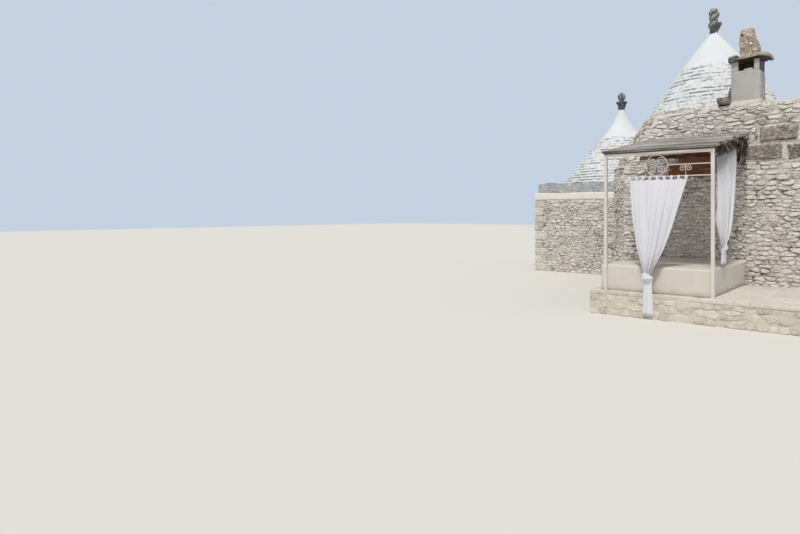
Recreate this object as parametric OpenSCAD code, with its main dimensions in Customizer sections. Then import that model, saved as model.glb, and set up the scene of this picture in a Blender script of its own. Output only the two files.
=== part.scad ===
// Trullo house: a main round house with a tall stone cone behind a flat front wall, a small
// square house with its own cone, and a daybed canopy on a stone podium before the front wall.
// The origin lies on the axis of the main cone at the ground. X runs along the front wall,
// Y runs into the house and Z points up. All sizes are in millimetres.

/* [Main house] */
// Outer radius of the round side and of the foot of the cone
drum_r = 2140; // [2000:10:2300]
// How far the front wall stands out past the round side
front_out = 60; // [40:5:200]
// How far the right wall stands out past the round side
right_out = 310; // [150:10:600]
// Distance from the axis to the left end of the front wall
front_left_end = 1250; // [1100:10:1400]
// Half the inner width of the square room
room_half = 1200; // [1000:10:1350]
// Height of the walls, where the cone springs
wall_h = 2770; // [2600:10:3000]
// Height of the room floor above the ground
floor_h = 550; // [450:10:600]
// Width of the doorway
door_w = 850; // [700:10:1000]
// Height of the doorway above the floor
door_h = 1900; // [1700:10:1950]
// Height of the front parapet above the wall
parapet_h = 1090; // [900:10:1200]
// Thickness of the front parapet
parapet_t = 600; // [560:10:800]
// Drop of the parapet top at its left shoulder
parapet_drop = 95; // [0:5:150]
// Distance from the left end of the front wall to the shoulder, where the parapet leans back
parapet_lean = 690; // [600:10:750]
// Length of the gentle slope from the shoulder up to the level top
parapet_slope = 820; // [600:10:1000]
// Thickness of the flat roof slabs behind the corners
slab_t = 60; // [40:5:90]
// How far the roof slabs and the door sill stand out past the walls
slab_out = 30; // [20:5:60]

/* [Main cone] */
// Height of the bare stone part of the cone
skirt_h = 1240; // [1000:10:1400]
// Height of the whitewashed stone part
white_h = 1060; // [1000:10:1300]
// Height of the smooth plaster tip, measured to the sharp point
cap_h = 880; // [600:10:950]
// Bulge of the cone, where 1 is a straight side
cone_power = 0.88; // [0.85:0.01:1]
// Height of one course of stones
course_h = 85; // [70:5:120]
// Ledge on top of each course
course_ledge = 18; // [10:1:25]
// Distance from the top of the inner dome down from the foot of the plaster tip
dome_short = 30; // [0:5:100]
// Radius of the cone where the pinnacle stands
cap_top_r = 80; // [60:5:100]

/* [Main pinnacle] */
// Radius of the pinnacle at its widest collar
pinnacle_collar_r = 150; // [130:5:190]
// Height of the flaring foot stone
pinnacle_foot_h = 210; // [200:10:300]
// Radius of the ball
pinnacle_ball_r = 120; // [100:1:140]

/* [Small house] */
// Sideways distance from the main axis to the right wall of the small house
small_right = 1540; // [1500:10:1750]
// Distance that the front wall of the small house lies behind the main axis
small_front = 1690; // [1650:10:1850]
// Half the outer width of the square block
small_half = 1950; // [1900:10:2000]
// Thickness of the walls
small_wall_t = 700; // [600:10:800]
// Height of the bare stone walls
small_wall_h = 2170; // [2100:10:2300]
// Height of the whitewashed coping
small_coping_h = 200; // [150:10:250]
// How far the coping stands out from the walls
small_coping_out = 25; // [10:5:40]
// Height of the grey ledge under the cone
small_ledge_h = 290; // [200:10:350]
// How far the ledge is set back from the wall face
small_ledge_in = 70; // [40:5:120]
// Height of the floor above the ground
small_floor_h = 600; // [500:10:650]
// Width of the doorway
small_door_w = 750; // [650:10:900]
// Height of the doorway above the floor
small_door_h = 1450; // [1300:10:1550]
// How far the foot of the cone is set back from the wall face
small_cone_in = 200; // [150:10:300]
// Height of the whitewashed stone part
small_white_h = 1450; // [1300:10:1500]
// Slope of the cone side, in radius lost for each unit of height
small_slope = 0.8; // [0.7:0.01:0.82]
// Height of the smooth plaster tip
small_cap_h = 880; // [700:10:1000]
// Radius of the neck on top of the plaster tip
small_neck_r = 96; // [80:2:110]
// Radius of the disc of the pinnacle
small_disc_r = 165; // [130:5:190]
// Radius of the ball of the pinnacle
small_ball_r = 114; // [80:2:120]

/* [Chimney] */
// Distance from the main axis to the middle of the chimney
chimney_x = 1045; // [1000:5:1200]
// Width of the shaft at its foot
chimney_w = 530; // [500:10:700]
// Width lost by the shaft up to its top
chimney_taper = 50; // [0:10:120]
// Depth of the shaft at its foot
chimney_depth = 480; // [460:10:540]
// Height of the plastered shaft
chimney_shaft_h = 660; // [550:10:800]
// Height of the smoke openings under the slab
smoke_h = 165; // [120:5:200]
// Width of a corner pier between the smoke openings
pier_w = 120; // [100:5:140]
// Thickness of the stone slab on top
chimney_slab_t = 85; // [60:5:110]
// How far the slab stands out over the piers
chimney_slab_out = 100; // [80:5:160]
// Height of the rough stone that weighs the slab down
top_stone_h = 540; // [400:10:600]
// Width of that stone at its foot
top_stone_w = 370; // [300:10:400]
// Length of the spout stone beside the chimney
spout_l = 520; // [400:10:600]
// Radius of the spout stone
spout_r = 88; // [70:2:95]

/* [Podium and bench] */
// Depth of the podium in front of the wall
podium_depth = 2600; // [2400:10:2900]
// Height of the podium
podium_h = 410; // [350:10:430]
// Distance from the main axis to the left end of the podium
podium_left = 900; // [860:10:1100]
// Height of the masonry bench above the podium
bench_h = 460; // [400:10:550]
// Distance that the bench reaches left of the left post
bench_left_out = 100; // [60:5:150]

/* [Canopy] */
// Distance from the main axis to the left post
post_left = 651; // [600:1:750]
// Distance from the main axis to the right post
post_right = 1082; // [1000:1:1200]
// Distance from the podium's front face back to the row of posts
post_in = 110; // [90:5:150]
// Width of the square steel tubes
tube_w = 50; // [40:2:56]
// Wall of the steel tubes
tube_wall = 3; // [2:0.5:4]
// Height of the posts above the podium
post_h = 2355; // [2200:5:2500]
// Rise of the roof from the front beam to the wall
roof_rise = 445; // [300:5:500]
// Number of wooden rafters between the side beams
rafters = 4; // [2:1:6]
// Width of a rafter
rafter_w = 60; // [50:2:80]
// Thickness of the roof boards
board_t = 20; // [15:1:30]
// Thickness of the reed layer on the boards
reed_t = 42; // [30:1:60]
// How far the reed layer stands out past the beams
reed_out = 45; // [20:5:60]
// Diameter of the curtain rails
rail_d = 16; // [12:1:20]
// Height of the gap between the front beam and the lower rail
hoop_gap = 370; // [300:5:420]
// Diameter of the iron bar of the hoop and scrolls
iron_d = 13; // [10:1:16]
// Number of scrolls in the hoop
hoop_scrolls = 4; // [3:1:6]
// Radius of the small scrolls beside the hoop
scroll_r = 46; // [36:1:50]
// Distance of the small scrolls from the hoop middle
scroll_x = 460; // [400:5:560]
// Drop of the side rail under the side beam
side_rail_drop = 70; // [50:5:100]

/* [Curtains] */
// Width of the front curtain at its rail
curtain_w = 1000; // [900:10:1100]
// Distance from the main axis to the knot of the front curtain
curtain_knot_x = 105; // [0:5:150]
// Height of the front knot above the ground
curtain_knot_z = 720; // [650:10:900]
// Height of the front curtain's hem above the ground
curtain_hem_z = 60; // [40:5:120]
// Width of the curtain at its knots and tails
curtain_tail_w = 140; // [100:5:160]
// Thickness of a gathered curtain
curtain_t = 56; // [40:2:60]
// Width of the side curtain at its rail
side_curtain_w = 1420; // [1200:10:1500]
// Height of the knot of the side curtain above the ground
side_knot_z = 1190; // [1150:10:1300]
// Length of the tail of the side curtain
side_tail_l = 230; // [150:10:260]

/* [Hidden] */
$fn = 96;

// Colours, as seen on the house
stone_grey = [0.72, 0.68, 0.60];
stone_dark = [0.45, 0.43, 0.40];
whitewash = [0.93, 0.93, 0.92];
plaster = [0.86, 0.83, 0.78];
steel_white = [0.88, 0.86, 0.82];
wood_red = [0.42, 0.20, 0.12];
reed_grey = [0.55, 0.52, 0.48];
cloth = [0.95, 0.95, 0.96];

// Facets round the large walls and cones, fine enough to keep their true size where they are cut
wall_fn = 360;
// Clearance between a soft curtain and what carries it
soft_gap = 0.3;
// A cutter reaches this far past the faces that it cuts
past = 10;
cone_h = skirt_h + white_h + cap_h;
skirt_courses = max(1, round(skirt_h / (course_h * 1.2)));
white_courses = max(1, round(white_h / course_h));
inner_courses = 8;
front_face = drum_r + front_out;
right_face = drum_r + right_out;
dome_h = skirt_h + white_h - dome_short;
// Height of the cone above its foot where the pinnacle stands
cap_cut = cone_h * (1 - pow(cap_top_r / drum_r, 1 / cone_power));
parapet_top = wall_h + parapet_h;
shoulder_x = parapet_lean - front_left_end;

small_x = small_right + small_half;
small_y = small_front + small_half;
small_door_y = small_y + 150;
small_ledge_z = small_wall_h + small_coping_h;
small_cone_z = small_ledge_z + small_ledge_h;
small_room_half = small_half - small_wall_t;
small_cone_r = small_half - small_cone_in;
small_cap_r = small_cone_r - small_slope * small_white_h;
small_shell_t = small_cone_r - small_room_half;
small_white_courses_n = max(1, round(small_white_h / course_h));

podium_front = front_face + podium_depth;
post_front = podium_front - post_in;
bench_top = podium_h + bench_h;
beam_z = podium_h + post_h;
beam_front = post_front + tube_w / 2;
beam_back = post_front - tube_w / 2;
roof_run = beam_front - front_face;
ledger_w = 60;
hanger_w = 10;
rafter_h = tube_w;
chimney_top_w = chimney_w - chimney_taper;
chimney_top_d = chimney_depth - chimney_taper;
flue_w = chimney_top_w - 2 * pier_w;
flue_d = chimney_top_d - 2 * pier_w;
flue_floor = 80;
lower_rail_z = beam_z - hoop_gap;
hoop_r = (hoop_gap - rail_d / 2 - iron_d) / 2;
hoop_z = lower_rail_z + rail_d / 2 + iron_d / 2 + hoop_r;
hoop_x = (post_right - post_left) / 2;
curtain_lean = podium_front - post_front + curtain_t / 2 + 12;
curtain_left = hoop_x - curtain_w / 2 - 15;
side_curtain_front = post_front - 200;
side_knot_y = -side_curtain_front + 490;

// Height of the underside of the roof boards at a place y, rising from the front beam to the wall
function roof_z(y) = beam_z + tube_w + (y + beam_front) / roof_run * roof_rise;

// Outer radius of the main cone at a height above its foot
function cone_r(h) = drum_r * pow(1 - h / cone_h, cone_power);

// Inner radius of the main dome, stepped inwards ring by ring like corbelled stones
function dome_r(h) = room_half * pow(max(0, 1 - h / dome_h), 0.75);

// Outer radius of the small cone at a height above its foot
function small_cone_radius(h) = small_cone_r - small_slope * h;

// Inner radius of the small dome, whose shell keeps one thickness all the way up
function small_dome_r(h) = small_cone_radius(h) - small_shell_t;

// Outline of one course: its sloping face and the ledge on its top
function course_points(r_low, r_high, z, h) = [[r_low, z], [r_high + course_ledge, z + h]];

// A shell of stone rings with n stepped courses outside and m corbelled rings inside.
// The lists hold the radii at the joints between courses, from the foot to the top.
module stepped_shell(outer, inner, h) {
    n = len(outer) - 1;
    m = len(inner) - 1;
    outside = [for (i = [0 : n - 1])
               each course_points(outer[i], outer[i + 1], i * h / n, h / n)];
    inside = [for (i = [m - 1 : -1 : 0])
              each [[inner[i], (i + 1) * h / m], [inner[i], i * h / m]]];
    rotate_extrude($fn = wall_fn) polygon(concat(outside, inside));
}

// A square tube along Z with its foot at the origin
module square_tube(l) {
    linear_extrude(l) difference() {
        square(tube_w, center = true);
        square(tube_w - 2 * tube_wall, center = true);
    }
}

// A solid with a YZ outline, which runs along X from x0 to x1
module along_x(x0, x1, outline) {
    translate([x0, 0, 0]) rotate([90, 0, 90]) linear_extrude(x1 - x0) polygon(outline);
}

// A solid with an XZ outline, which runs along Y from y0 to y1
module along_y(y0, y1, outline) {
    translate([0, y1, 0]) rotate([90, 0, 0]) linear_extrude(y1 - y0) polygon(outline);
}

// A box from its two corners
module box(a, b) {
    translate(a) cube(b - a);
}

module main_cylinder(h) {
    cylinder(h = h, r = drum_r, $fn = wall_fn);
}

module stone_podium() {
    color(stone_grey)
        box([-podium_left, -podium_front, 0], [right_face, -front_face, podium_h]);
}

module plaster_bench() {
    color(plaster)
        box([-post_left - bench_left_out, -beam_back, podium_h],
            [post_right - tube_w / 2, -front_face, bench_top]);
}

module main_floor() {
    color(stone_grey)
        box([-room_half, -room_half, 0], [room_half, room_half, floor_h]);
}

module front_wall() {
    color(stone_grey)
        box([-front_left_end, -front_face, 0], [right_face, -room_half, wall_h]);
}

// The parapet rises in front of the cone, and its left end leans back with the cone's slope
module front_parapet() {
    color(stone_grey)
        along_y(-front_face, parapet_t - front_face,
                [[-front_left_end, wall_h], [right_face, wall_h], [right_face, parapet_top],
                 [shoulder_x + parapet_slope, parapet_top],
                 [shoulder_x, parapet_top - parapet_drop]]);
}

// The round wall fills the left side as far as the front and back walls
module left_round_wall() {
    color(stone_grey) difference() {
        intersection() {
            main_cylinder(wall_h);
            box([-drum_r - past, -drum_r - past, 0], [-room_half, room_half, wall_h]);
        }
        front_wall();
    }
}

// The back wall is round as far as the axis and then runs straight to the right corner
module back_wall() {
    color(stone_grey) intersection() {
        union() {
            main_cylinder(wall_h);
            box([0, 0, 0], [right_face, drum_r, wall_h]);
        }
        box([-drum_r - past, room_half, 0], [right_face, drum_r, wall_h]);
    }
}

// The right wall stands on both sides of the doorway
module right_wall() {
    color(stone_grey) {
        box([room_half, -room_half, 0], [right_face, -door_w / 2, wall_h]);
        box([room_half, door_w / 2, 0], [right_face, room_half, wall_h]);
    }
}

module door_sill() {
    color(stone_grey)
        box([room_half, -door_w / 2, 0], [right_face + slab_out, door_w / 2, floor_h]);
}

module door_lintel() {
    color(stone_dark)
        box([room_half, -door_w / 2, floor_h + door_h], [right_face, door_w / 2, wall_h]);
}

// Flat slabs cover the corners of the square side round the foot of the cone
module corner_roof_slabs() {
    color(whitewash) difference() {
        box([0, parapet_t - front_face, wall_h],
            [right_face + slab_out, drum_r + slab_out, wall_h + slab_t]);
        translate([0, 0, wall_h - past]) main_cylinder(slab_t + 2 * past);
    }
}

module cone_stone_skirt() {
    outer = [for (i = [0 : skirt_courses]) cone_r(i * skirt_h / skirt_courses)];
    inner = [for (i = [0 : inner_courses]) dome_r(i * skirt_h / inner_courses)];
    color(stone_grey) difference() {
        translate([0, 0, wall_h]) stepped_shell(outer, inner, skirt_h);
        front_parapet();
    }
}

module cone_white_courses() {
    outer = [for (i = [0 : white_courses]) cone_r(skirt_h + i * white_h / white_courses)];
    inner = [for (i = [0 : inner_courses]) dome_r(skirt_h + i * white_h / inner_courses)];
    color(whitewash)
        translate([0, 0, wall_h + skirt_h]) stepped_shell(outer, inner, white_h);
}

module cone_plaster_tip() {
    z0 = skirt_h + white_h;
    steps = 10;
    side = [for (i = [0 : steps]) let (h = z0 + (cap_cut - z0) * i / steps) [cone_r(h), h]];
    color(whitewash)
        translate([0, 0, wall_h])
            rotate_extrude() polygon(concat([[0, z0]], side, [[0, cap_cut]]));
}

// The foot flares to a collar and narrows again to the neck that carries the ball
module main_pinnacle_foot() {
    color(stone_dark) translate([0, 0, wall_h + cap_cut]) {
        cylinder(h = pinnacle_foot_h, r1 = cap_top_r + 15, r2 = pinnacle_collar_r - 20);
        translate([0, 0, pinnacle_foot_h]) cylinder(h = 50, r = pinnacle_collar_r);
        translate([0, 0, pinnacle_foot_h + 50]) cylinder(h = 90, r1 = 100, r2 = 75);
    }
}

module main_pinnacle_ball() {
    neck = sqrt(pow(pinnacle_ball_r, 2) - pow(75, 2));
    color(stone_dark)
        translate([0, 0, wall_h + cap_cut + pinnacle_foot_h + 140 + neck]) {
            difference() {
                sphere(r = pinnacle_ball_r);
                translate([0, 0, -neck - pinnacle_ball_r])
                    cube(2 * pinnacle_ball_r, center = true);
            }
            translate([0, 0, pinnacle_ball_r - 12]) cylinder(h = 45, r1 = 55, r2 = 30);
        }
}

// A block whose four sides lean inwards by the same amount
module leaning_block(w, d, h, lean) {
    intersection() {
        along_y(-d, d, [[-w / 2, 0], [w / 2, 0], [w / 2 - lean, h], [lean - w / 2, h]]);
        along_x(-w, w, [[-d / 2, 0], [d / 2, 0], [d / 2 - lean, h], [lean - d / 2, h]]);
    }
}

module at_chimney(z) {
    translate([chimney_x, parapet_t / 2 - front_face, parapet_top + z]) children();
}

// The plastered shaft ends in four corner piers, with a smoke opening between each two
module chimney_shaft() {
    color(plaster) at_chimney(0) difference() {
        leaning_block(chimney_w, chimney_depth, chimney_shaft_h + smoke_h, chimney_taper / 2);
        translate([-flue_w / 2, -flue_d / 2, flue_floor])
            cube([flue_w, flue_d, chimney_shaft_h + smoke_h]);
        translate([-flue_w / 2, -chimney_depth / 2 - past, chimney_shaft_h])
            cube([flue_w, chimney_depth + 2 * past, smoke_h + past]);
        translate([-chimney_w / 2 - past, -flue_d / 2, chimney_shaft_h])
            cube([chimney_w + 2 * past, flue_d, smoke_h + past]);
    }
}

module chimney_slab() {
    color(stone_dark) at_chimney(chimney_shaft_h + smoke_h)
        translate([0, 0, chimney_slab_t / 2])
            cube([chimney_top_w + 2 * chimney_slab_out, chimney_top_d + 2 * chimney_slab_out,
                  chimney_slab_t], center = true);
}

module chimney_top_stone() {
    color([0.72, 0.64, 0.48]) at_chimney(chimney_shaft_h + smoke_h + chimney_slab_t)
        leaning_block(top_stone_w, top_stone_w * 0.8, top_stone_h, top_stone_w * 0.16);
}

// The spout stone lies on the parapet, with a channel in its top
module spout_stone() {
    x = chimney_x - chimney_w / 2 - spout_r - 5;
    color(stone_dark)
        translate([x, -front_face - 60, parapet_top + spout_r]) rotate([-90, 0, 0])
            difference() {
                cylinder(h = spout_l, r = spout_r, $fn = 48);
                translate([0, -spout_r, -past]) cylinder(h = spout_l + 2 * past, r = spout_r * 0.5);
            }
}

// Places its children at the middle of the small house, at a height above the ground
module at_small(z) {
    translate([-small_x, small_y, z]) children();
}

module small_floor() {
    color(stone_grey) at_small(0)
        box([-small_room_half, -small_room_half, 0],
            [small_room_half, small_room_half, small_floor_h]);
}

// The front wall runs on to the round wall of the main house
module small_front_wall() {
    color(stone_grey) difference() {
        box([-small_x - small_half, small_y - small_half, 0],
            [-drum_r * 0.47, small_y - small_room_half, small_wall_h]);
        translate([0, 0, -past]) main_cylinder(small_wall_h + 2 * past);
    }
}

module small_back_wall() {
    color(stone_grey) at_small(0)
        box([-small_half, small_room_half, 0], [small_half, small_half, small_wall_h]);
}

module small_left_wall() {
    color(stone_grey) at_small(0)
        box([-small_half, -small_room_half, 0], [-small_room_half, small_room_half, small_wall_h]);
}

module small_right_wall() {
    color(stone_grey) {
        box([small_room_half - small_x, small_y - small_room_half, 0],
            [small_half - small_x, small_door_y - small_door_w / 2, small_wall_h]);
        box([small_room_half - small_x, small_door_y + small_door_w / 2, 0],
            [small_half - small_x, small_y + small_room_half, small_wall_h]);
    }
}

module small_door_sill() {
    color(stone_grey)
        box([small_room_half - small_x, small_door_y - small_door_w / 2, 0],
            [small_half - small_x, small_door_y + small_door_w / 2, small_floor_h]);
}

module small_door_lintel() {
    color(stone_dark)
        box([small_room_half - small_x, small_door_y - small_door_w / 2,
             small_floor_h + small_door_h],
            [small_half - small_x, small_door_y + small_door_w / 2, small_wall_h]);
}

// A square ring round the room, from its outer half width and its height
module room_ring(half, h) {
    difference() {
        box([-half, -half, 0], [half, half, h]);
        box([-small_room_half, -small_room_half, -past],
            [small_room_half, small_room_half, h + past]);
    }
}

module small_coping() {
    color(whitewash) at_small(small_wall_h)
        room_ring(small_half + small_coping_out, small_coping_h);
}

module small_ledge() {
    color(stone_dark) at_small(small_ledge_z)
        room_ring(small_half - small_ledge_in, small_ledge_h);
}

module small_white_courses() {
    n = small_white_courses_n;
    outer = [for (i = [0 : n]) small_cone_radius(i * small_white_h / n)];
    inner = [for (i = [0 : inner_courses]) small_dome_r(i * small_white_h / inner_courses)];
    color(whitewash) at_small(small_cone_z) stepped_shell(outer, inner, small_white_h);
}

// The tip sweeps inwards to a slim neck
module small_plaster_tip() {
    steps = 14;
    side = [for (i = [0 : steps]) let (t = i / steps)
            [small_neck_r + (small_cap_r - small_neck_r) * pow(1 - t, 1.45), t * small_cap_h]];
    color(whitewash) at_small(small_cone_z + small_white_h)
        rotate_extrude() polygon(concat([[0, 0]], side, [[0, small_cap_h]]));
}

module small_pinnacle_foot() {
    color(stone_dark) at_small(small_cone_z + small_white_h + small_cap_h) {
        cylinder(h = 210, r1 = small_neck_r, r2 = small_disc_r - 35);
        translate([0, 0, 210]) cylinder(h = 55, r = small_disc_r);
        translate([0, 0, 265]) cylinder(h = 40, r = 60);
    }
}

module small_pinnacle_ball() {
    neck = sqrt(pow(small_ball_r, 2) - pow(60, 2));
    color(stone_dark) at_small(small_cone_z + small_white_h + small_cap_h + 305 + neck) {
        difference() {
            sphere(r = small_ball_r);
            translate([0, 0, -neck - small_ball_r]) cube(2 * small_ball_r, center = true);
        }
        translate([0, 0, small_ball_r - 10]) cylinder(h = 40, r1 = 45, r2 = 25);
    }
}

module canopy_posts() {
    color(steel_white)
        for (x = [-post_left, post_right])
            translate([x, -post_front, podium_h]) square_tube(post_h);
}

// The beam lies across both posts, and its top is bevelled to the slope of the roof
module canopy_front_beam() {
    color(steel_white)
        along_x(-post_left - tube_w / 2, post_right + tube_w / 2,
                [[-beam_front, beam_z], [-beam_back, beam_z],
                 [-beam_back, roof_z(-beam_back)], [-beam_front, roof_z(-beam_front)]]);
}

// A sloping member under the boards, from the front beam back to the wall beam
module sloping_member(x0, x1, h) {
    y0 = -beam_back;
    y1 = -front_face - ledger_w;
    along_x(x0, x1, [[y0, roof_z(y0) - h], [y1, roof_z(y1) - h], [y1, roof_z(y1)],
                     [y0, roof_z(y0)]]);
}

module canopy_side_beams() {
    color(steel_white)
        for (x = [-post_left, post_right])
            sloping_member(x - tube_w / 2, x + tube_w / 2, tube_w);
}

module canopy_wall_beam() {
    y0 = -front_face - ledger_w;
    color(wood_red)
        along_x(-post_left - tube_w / 2, post_right + tube_w / 2,
                [[y0, roof_z(y0) - 90], [-front_face, roof_z(y0) - 90],
                 [-front_face, roof_z(-front_face)], [y0, roof_z(y0)]]);
}

module canopy_rafters() {
    pitch = (post_right + post_left) / (rafters + 1);
    color(wood_red)
        for (i = [1 : rafters])
            translate([i * pitch - post_left, 0, 0])
                sloping_member(-rafter_w / 2, rafter_w / 2, rafter_h);
}

// A sloping layer of the roof, which ends at the wall
module roof_layer(out, low, t) {
    y0 = -beam_front - out;
    along_x(-post_left - tube_w / 2 - out, post_right + tube_w / 2 + out,
            [[y0, roof_z(y0) + low], [-front_face, roof_z(-front_face) + low],
             [-front_face, roof_z(-front_face) + low + t], [y0, roof_z(y0) + low + t]]);
}

module canopy_boards() {
    color(wood_red) roof_layer(0, 0, board_t);
}

module canopy_reed_roof() {
    color(reed_grey) roof_layer(reed_out, board_t, reed_t);
}

// A round rod along X between two places
module rod_x(x0, x1, z) {
    translate([x0, -post_front, z]) rotate([0, 90, 0]) cylinder(h = x1 - x0, d = rail_d, $fn = 24);
}

// The lower rail carries the curtain, and the upper one stops at the hoop on either side
module front_curtain_rails() {
    edge = hoop_r + iron_d / 2;
    left = tube_w / 2 - post_left;
    right = post_right - tube_w / 2;
    color(steel_white) {
        rod_x(left, right, lower_rail_z);
        rod_x(left, hoop_x - edge, hoop_z);
        rod_x(hoop_x + edge, right, hoop_z);
    }
}

// An arc of flat bar in the plane, which runs from angle a0 to angle a1 about the origin
module bar_arc(r, a0, a1) {
    reach = 2 * r + iron_d;
    steps = ceil((a1 - a0) / 60);
    fan = [for (i = [0 : steps]) let (a = a0 + i * (a1 - a0) / steps) reach * [cos(a), sin(a)]];
    intersection() {
        difference() {
            circle(r + iron_d / 2);
            circle(r - iron_d / 2);
        }
        polygon(concat([[0, 0]], fan));
    }
}

// A scroll: three quarters of a turn that curls on into half its radius
module scroll(r) {
    bar_arc(r, 0, 270);
    translate([0, -r / 2]) bar_arc(r / 2, 270, 450);
}

// Stands a flat pattern upright in the row of posts
module upright(x, z) {
    translate([x, iron_d / 2 - post_front, z]) rotate([90, 0, 0]) linear_extrude(iron_d) children();
}

// The hoop holds scrolls, each touching the ring and its two neighbours. A pair of small scrolls
// stands on each side of it, on a stem between the rails.
module iron_scrollwork() {
    s = sin(180 / hoop_scrolls);
    inner_r = hoop_r * s / (1 + s);
    stem_z = lower_rail_z + rail_d / 2;
    stem_h = hoop_z - lower_rail_z - rail_d;
    color(steel_white) {
        upright(hoop_x, hoop_z) {
            difference() {
                circle(hoop_r + iron_d / 2);
                circle(hoop_r - iron_d / 2);
            }
            for (i = [0 : hoop_scrolls - 1])
                rotate(i * 360 / hoop_scrolls + 45)
                    translate([hoop_r - inner_r, 0]) rotate(-90) scroll(inner_r);
        }
        for (side = [-1, 1])
            upright(hoop_x + side * scroll_x, stem_z) {
                translate([-iron_d / 2, 0]) square([iron_d, stem_h]);
                for (d = [0, 1])
                    mirror([d, 0])
                        translate([scroll_r, stem_h - scroll_r - iron_d / 2])
                            rotate(180) scroll(scroll_r);
            }
    }
}

// The side rail hangs under the right side beam on three short hangers
module side_curtain_rail() {
    y0 = -side_curtain_front - 60;
    y1 = y0 + side_curtain_w + 120;
    tilt = atan(roof_rise / roof_run);
    run = (y1 - y0) / cos(tilt);
    color(steel_white) {
        translate([post_right, y0, roof_z(y0) - tube_w - side_rail_drop]) rotate([tilt - 90, 0, 0])
            cylinder(h = run, d = rail_d, $fn = 24);
        for (i = [0 : 2]) {
            y = y0 + 40 + i * (y1 - y0 - 80) / 2;
            foot = roof_z(y) - tube_w - side_rail_drop;
            along_x(post_right - hanger_w / 2, post_right + hanger_w / 2,
                    [[y - hanger_w / 2, foot], [y + hanger_w / 2, foot],
                     [y + hanger_w / 2, roof_z(y + hanger_w / 2) - tube_w],
                     [y - hanger_w / 2, roof_z(y - hanger_w / 2) - tube_w]]);
        }
    }
}

// A gathered curtain is wide at the rail, narrow at its knot and hangs on as a tail
module front_curtain() {
    top_z = lower_rail_z - rail_d / 2 - soft_gap;
    half = curtain_tail_w / 2;
    color(cloth) {
        hull() {
            translate([curtain_left, -post_front - curtain_t / 4, top_z - 20])
                cube([curtain_w, curtain_t / 2, 20]);
            translate([curtain_knot_x - half, -post_front - curtain_lean - curtain_t / 2,
                       curtain_knot_z])
                cube([curtain_tail_w, curtain_t, 40]);
        }
        translate([curtain_knot_x - half, -post_front - curtain_lean - curtain_t / 2,
                   curtain_hem_z])
            cube([curtain_tail_w, curtain_t, curtain_knot_z - curtain_hem_z]);
    }
}

module side_curtain() {
    y0 = -side_curtain_front;
    y1 = y0 + side_curtain_w;
    drop = tube_w + side_rail_drop + rail_d / 2 / cos(atan(roof_rise / roof_run)) + soft_gap;
    half = curtain_tail_w / 2;
    knot_y = side_knot_y;
    color(cloth)
        along_x(post_right - curtain_t / 4, post_right + curtain_t * 3 / 4,
                [[y0, roof_z(y0) - drop], [knot_y - half, side_knot_z],
                 [knot_y - half, side_knot_z - side_tail_l],
                 [knot_y + half, side_knot_z - side_tail_l], [knot_y + half, side_knot_z],
                 [y1, roof_z(y1) - drop]]);
}

stone_podium();
plaster_bench();
main_floor();
front_wall();
front_parapet();
left_round_wall();
back_wall();
right_wall();
door_sill();
door_lintel();
corner_roof_slabs();
cone_stone_skirt();
cone_white_courses();
cone_plaster_tip();
main_pinnacle_foot();
main_pinnacle_ball();
chimney_shaft();
chimney_slab();
chimney_top_stone();
spout_stone();
small_floor();
small_front_wall();
small_back_wall();
small_left_wall();
small_right_wall();
small_door_sill();
small_door_lintel();
small_coping();
small_ledge();
small_white_courses();
small_plaster_tip();
small_pinnacle_foot();
small_pinnacle_ball();
canopy_posts();
canopy_front_beam();
canopy_side_beams();
canopy_wall_beam();
canopy_rafters();
canopy_boards();
canopy_reed_roof();
front_curtain_rails();
side_curtain_rail();
iron_scrollwork();
front_curtain();
side_curtain();
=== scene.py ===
"""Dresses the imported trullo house: stones, limewash, plaster, reeds, iron and cloth over its solids."""

import math

import bpy
import numpy as np
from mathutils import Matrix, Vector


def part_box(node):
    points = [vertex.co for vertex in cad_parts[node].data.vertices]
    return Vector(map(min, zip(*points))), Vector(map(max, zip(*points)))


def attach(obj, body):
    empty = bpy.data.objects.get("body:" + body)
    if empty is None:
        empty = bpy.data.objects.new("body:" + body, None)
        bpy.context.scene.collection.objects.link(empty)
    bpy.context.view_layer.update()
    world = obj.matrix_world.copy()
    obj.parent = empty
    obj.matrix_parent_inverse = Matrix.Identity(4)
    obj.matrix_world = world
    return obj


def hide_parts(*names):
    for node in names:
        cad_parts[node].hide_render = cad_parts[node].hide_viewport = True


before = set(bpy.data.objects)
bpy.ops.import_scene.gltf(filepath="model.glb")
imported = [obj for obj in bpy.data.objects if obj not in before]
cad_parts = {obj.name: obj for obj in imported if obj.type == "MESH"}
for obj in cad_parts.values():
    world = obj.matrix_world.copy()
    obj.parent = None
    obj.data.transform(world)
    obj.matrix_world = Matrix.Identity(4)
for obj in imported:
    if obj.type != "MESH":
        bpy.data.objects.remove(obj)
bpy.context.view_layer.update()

bl_info = {
    "name": "Trullo House Finish",
    "version": (1, 0, 0),
    "blender": (4, 5, 0),
    "location": "View3D > Sidebar > Trullo",
    "description": "Stones, plaster, roof, iron and curtains for the packed trullo house",
    "category": "Object",
}


# Places read from the frame, in metres


def span(node):
    low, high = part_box(node)
    return np.array(low), np.array(high)


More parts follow.
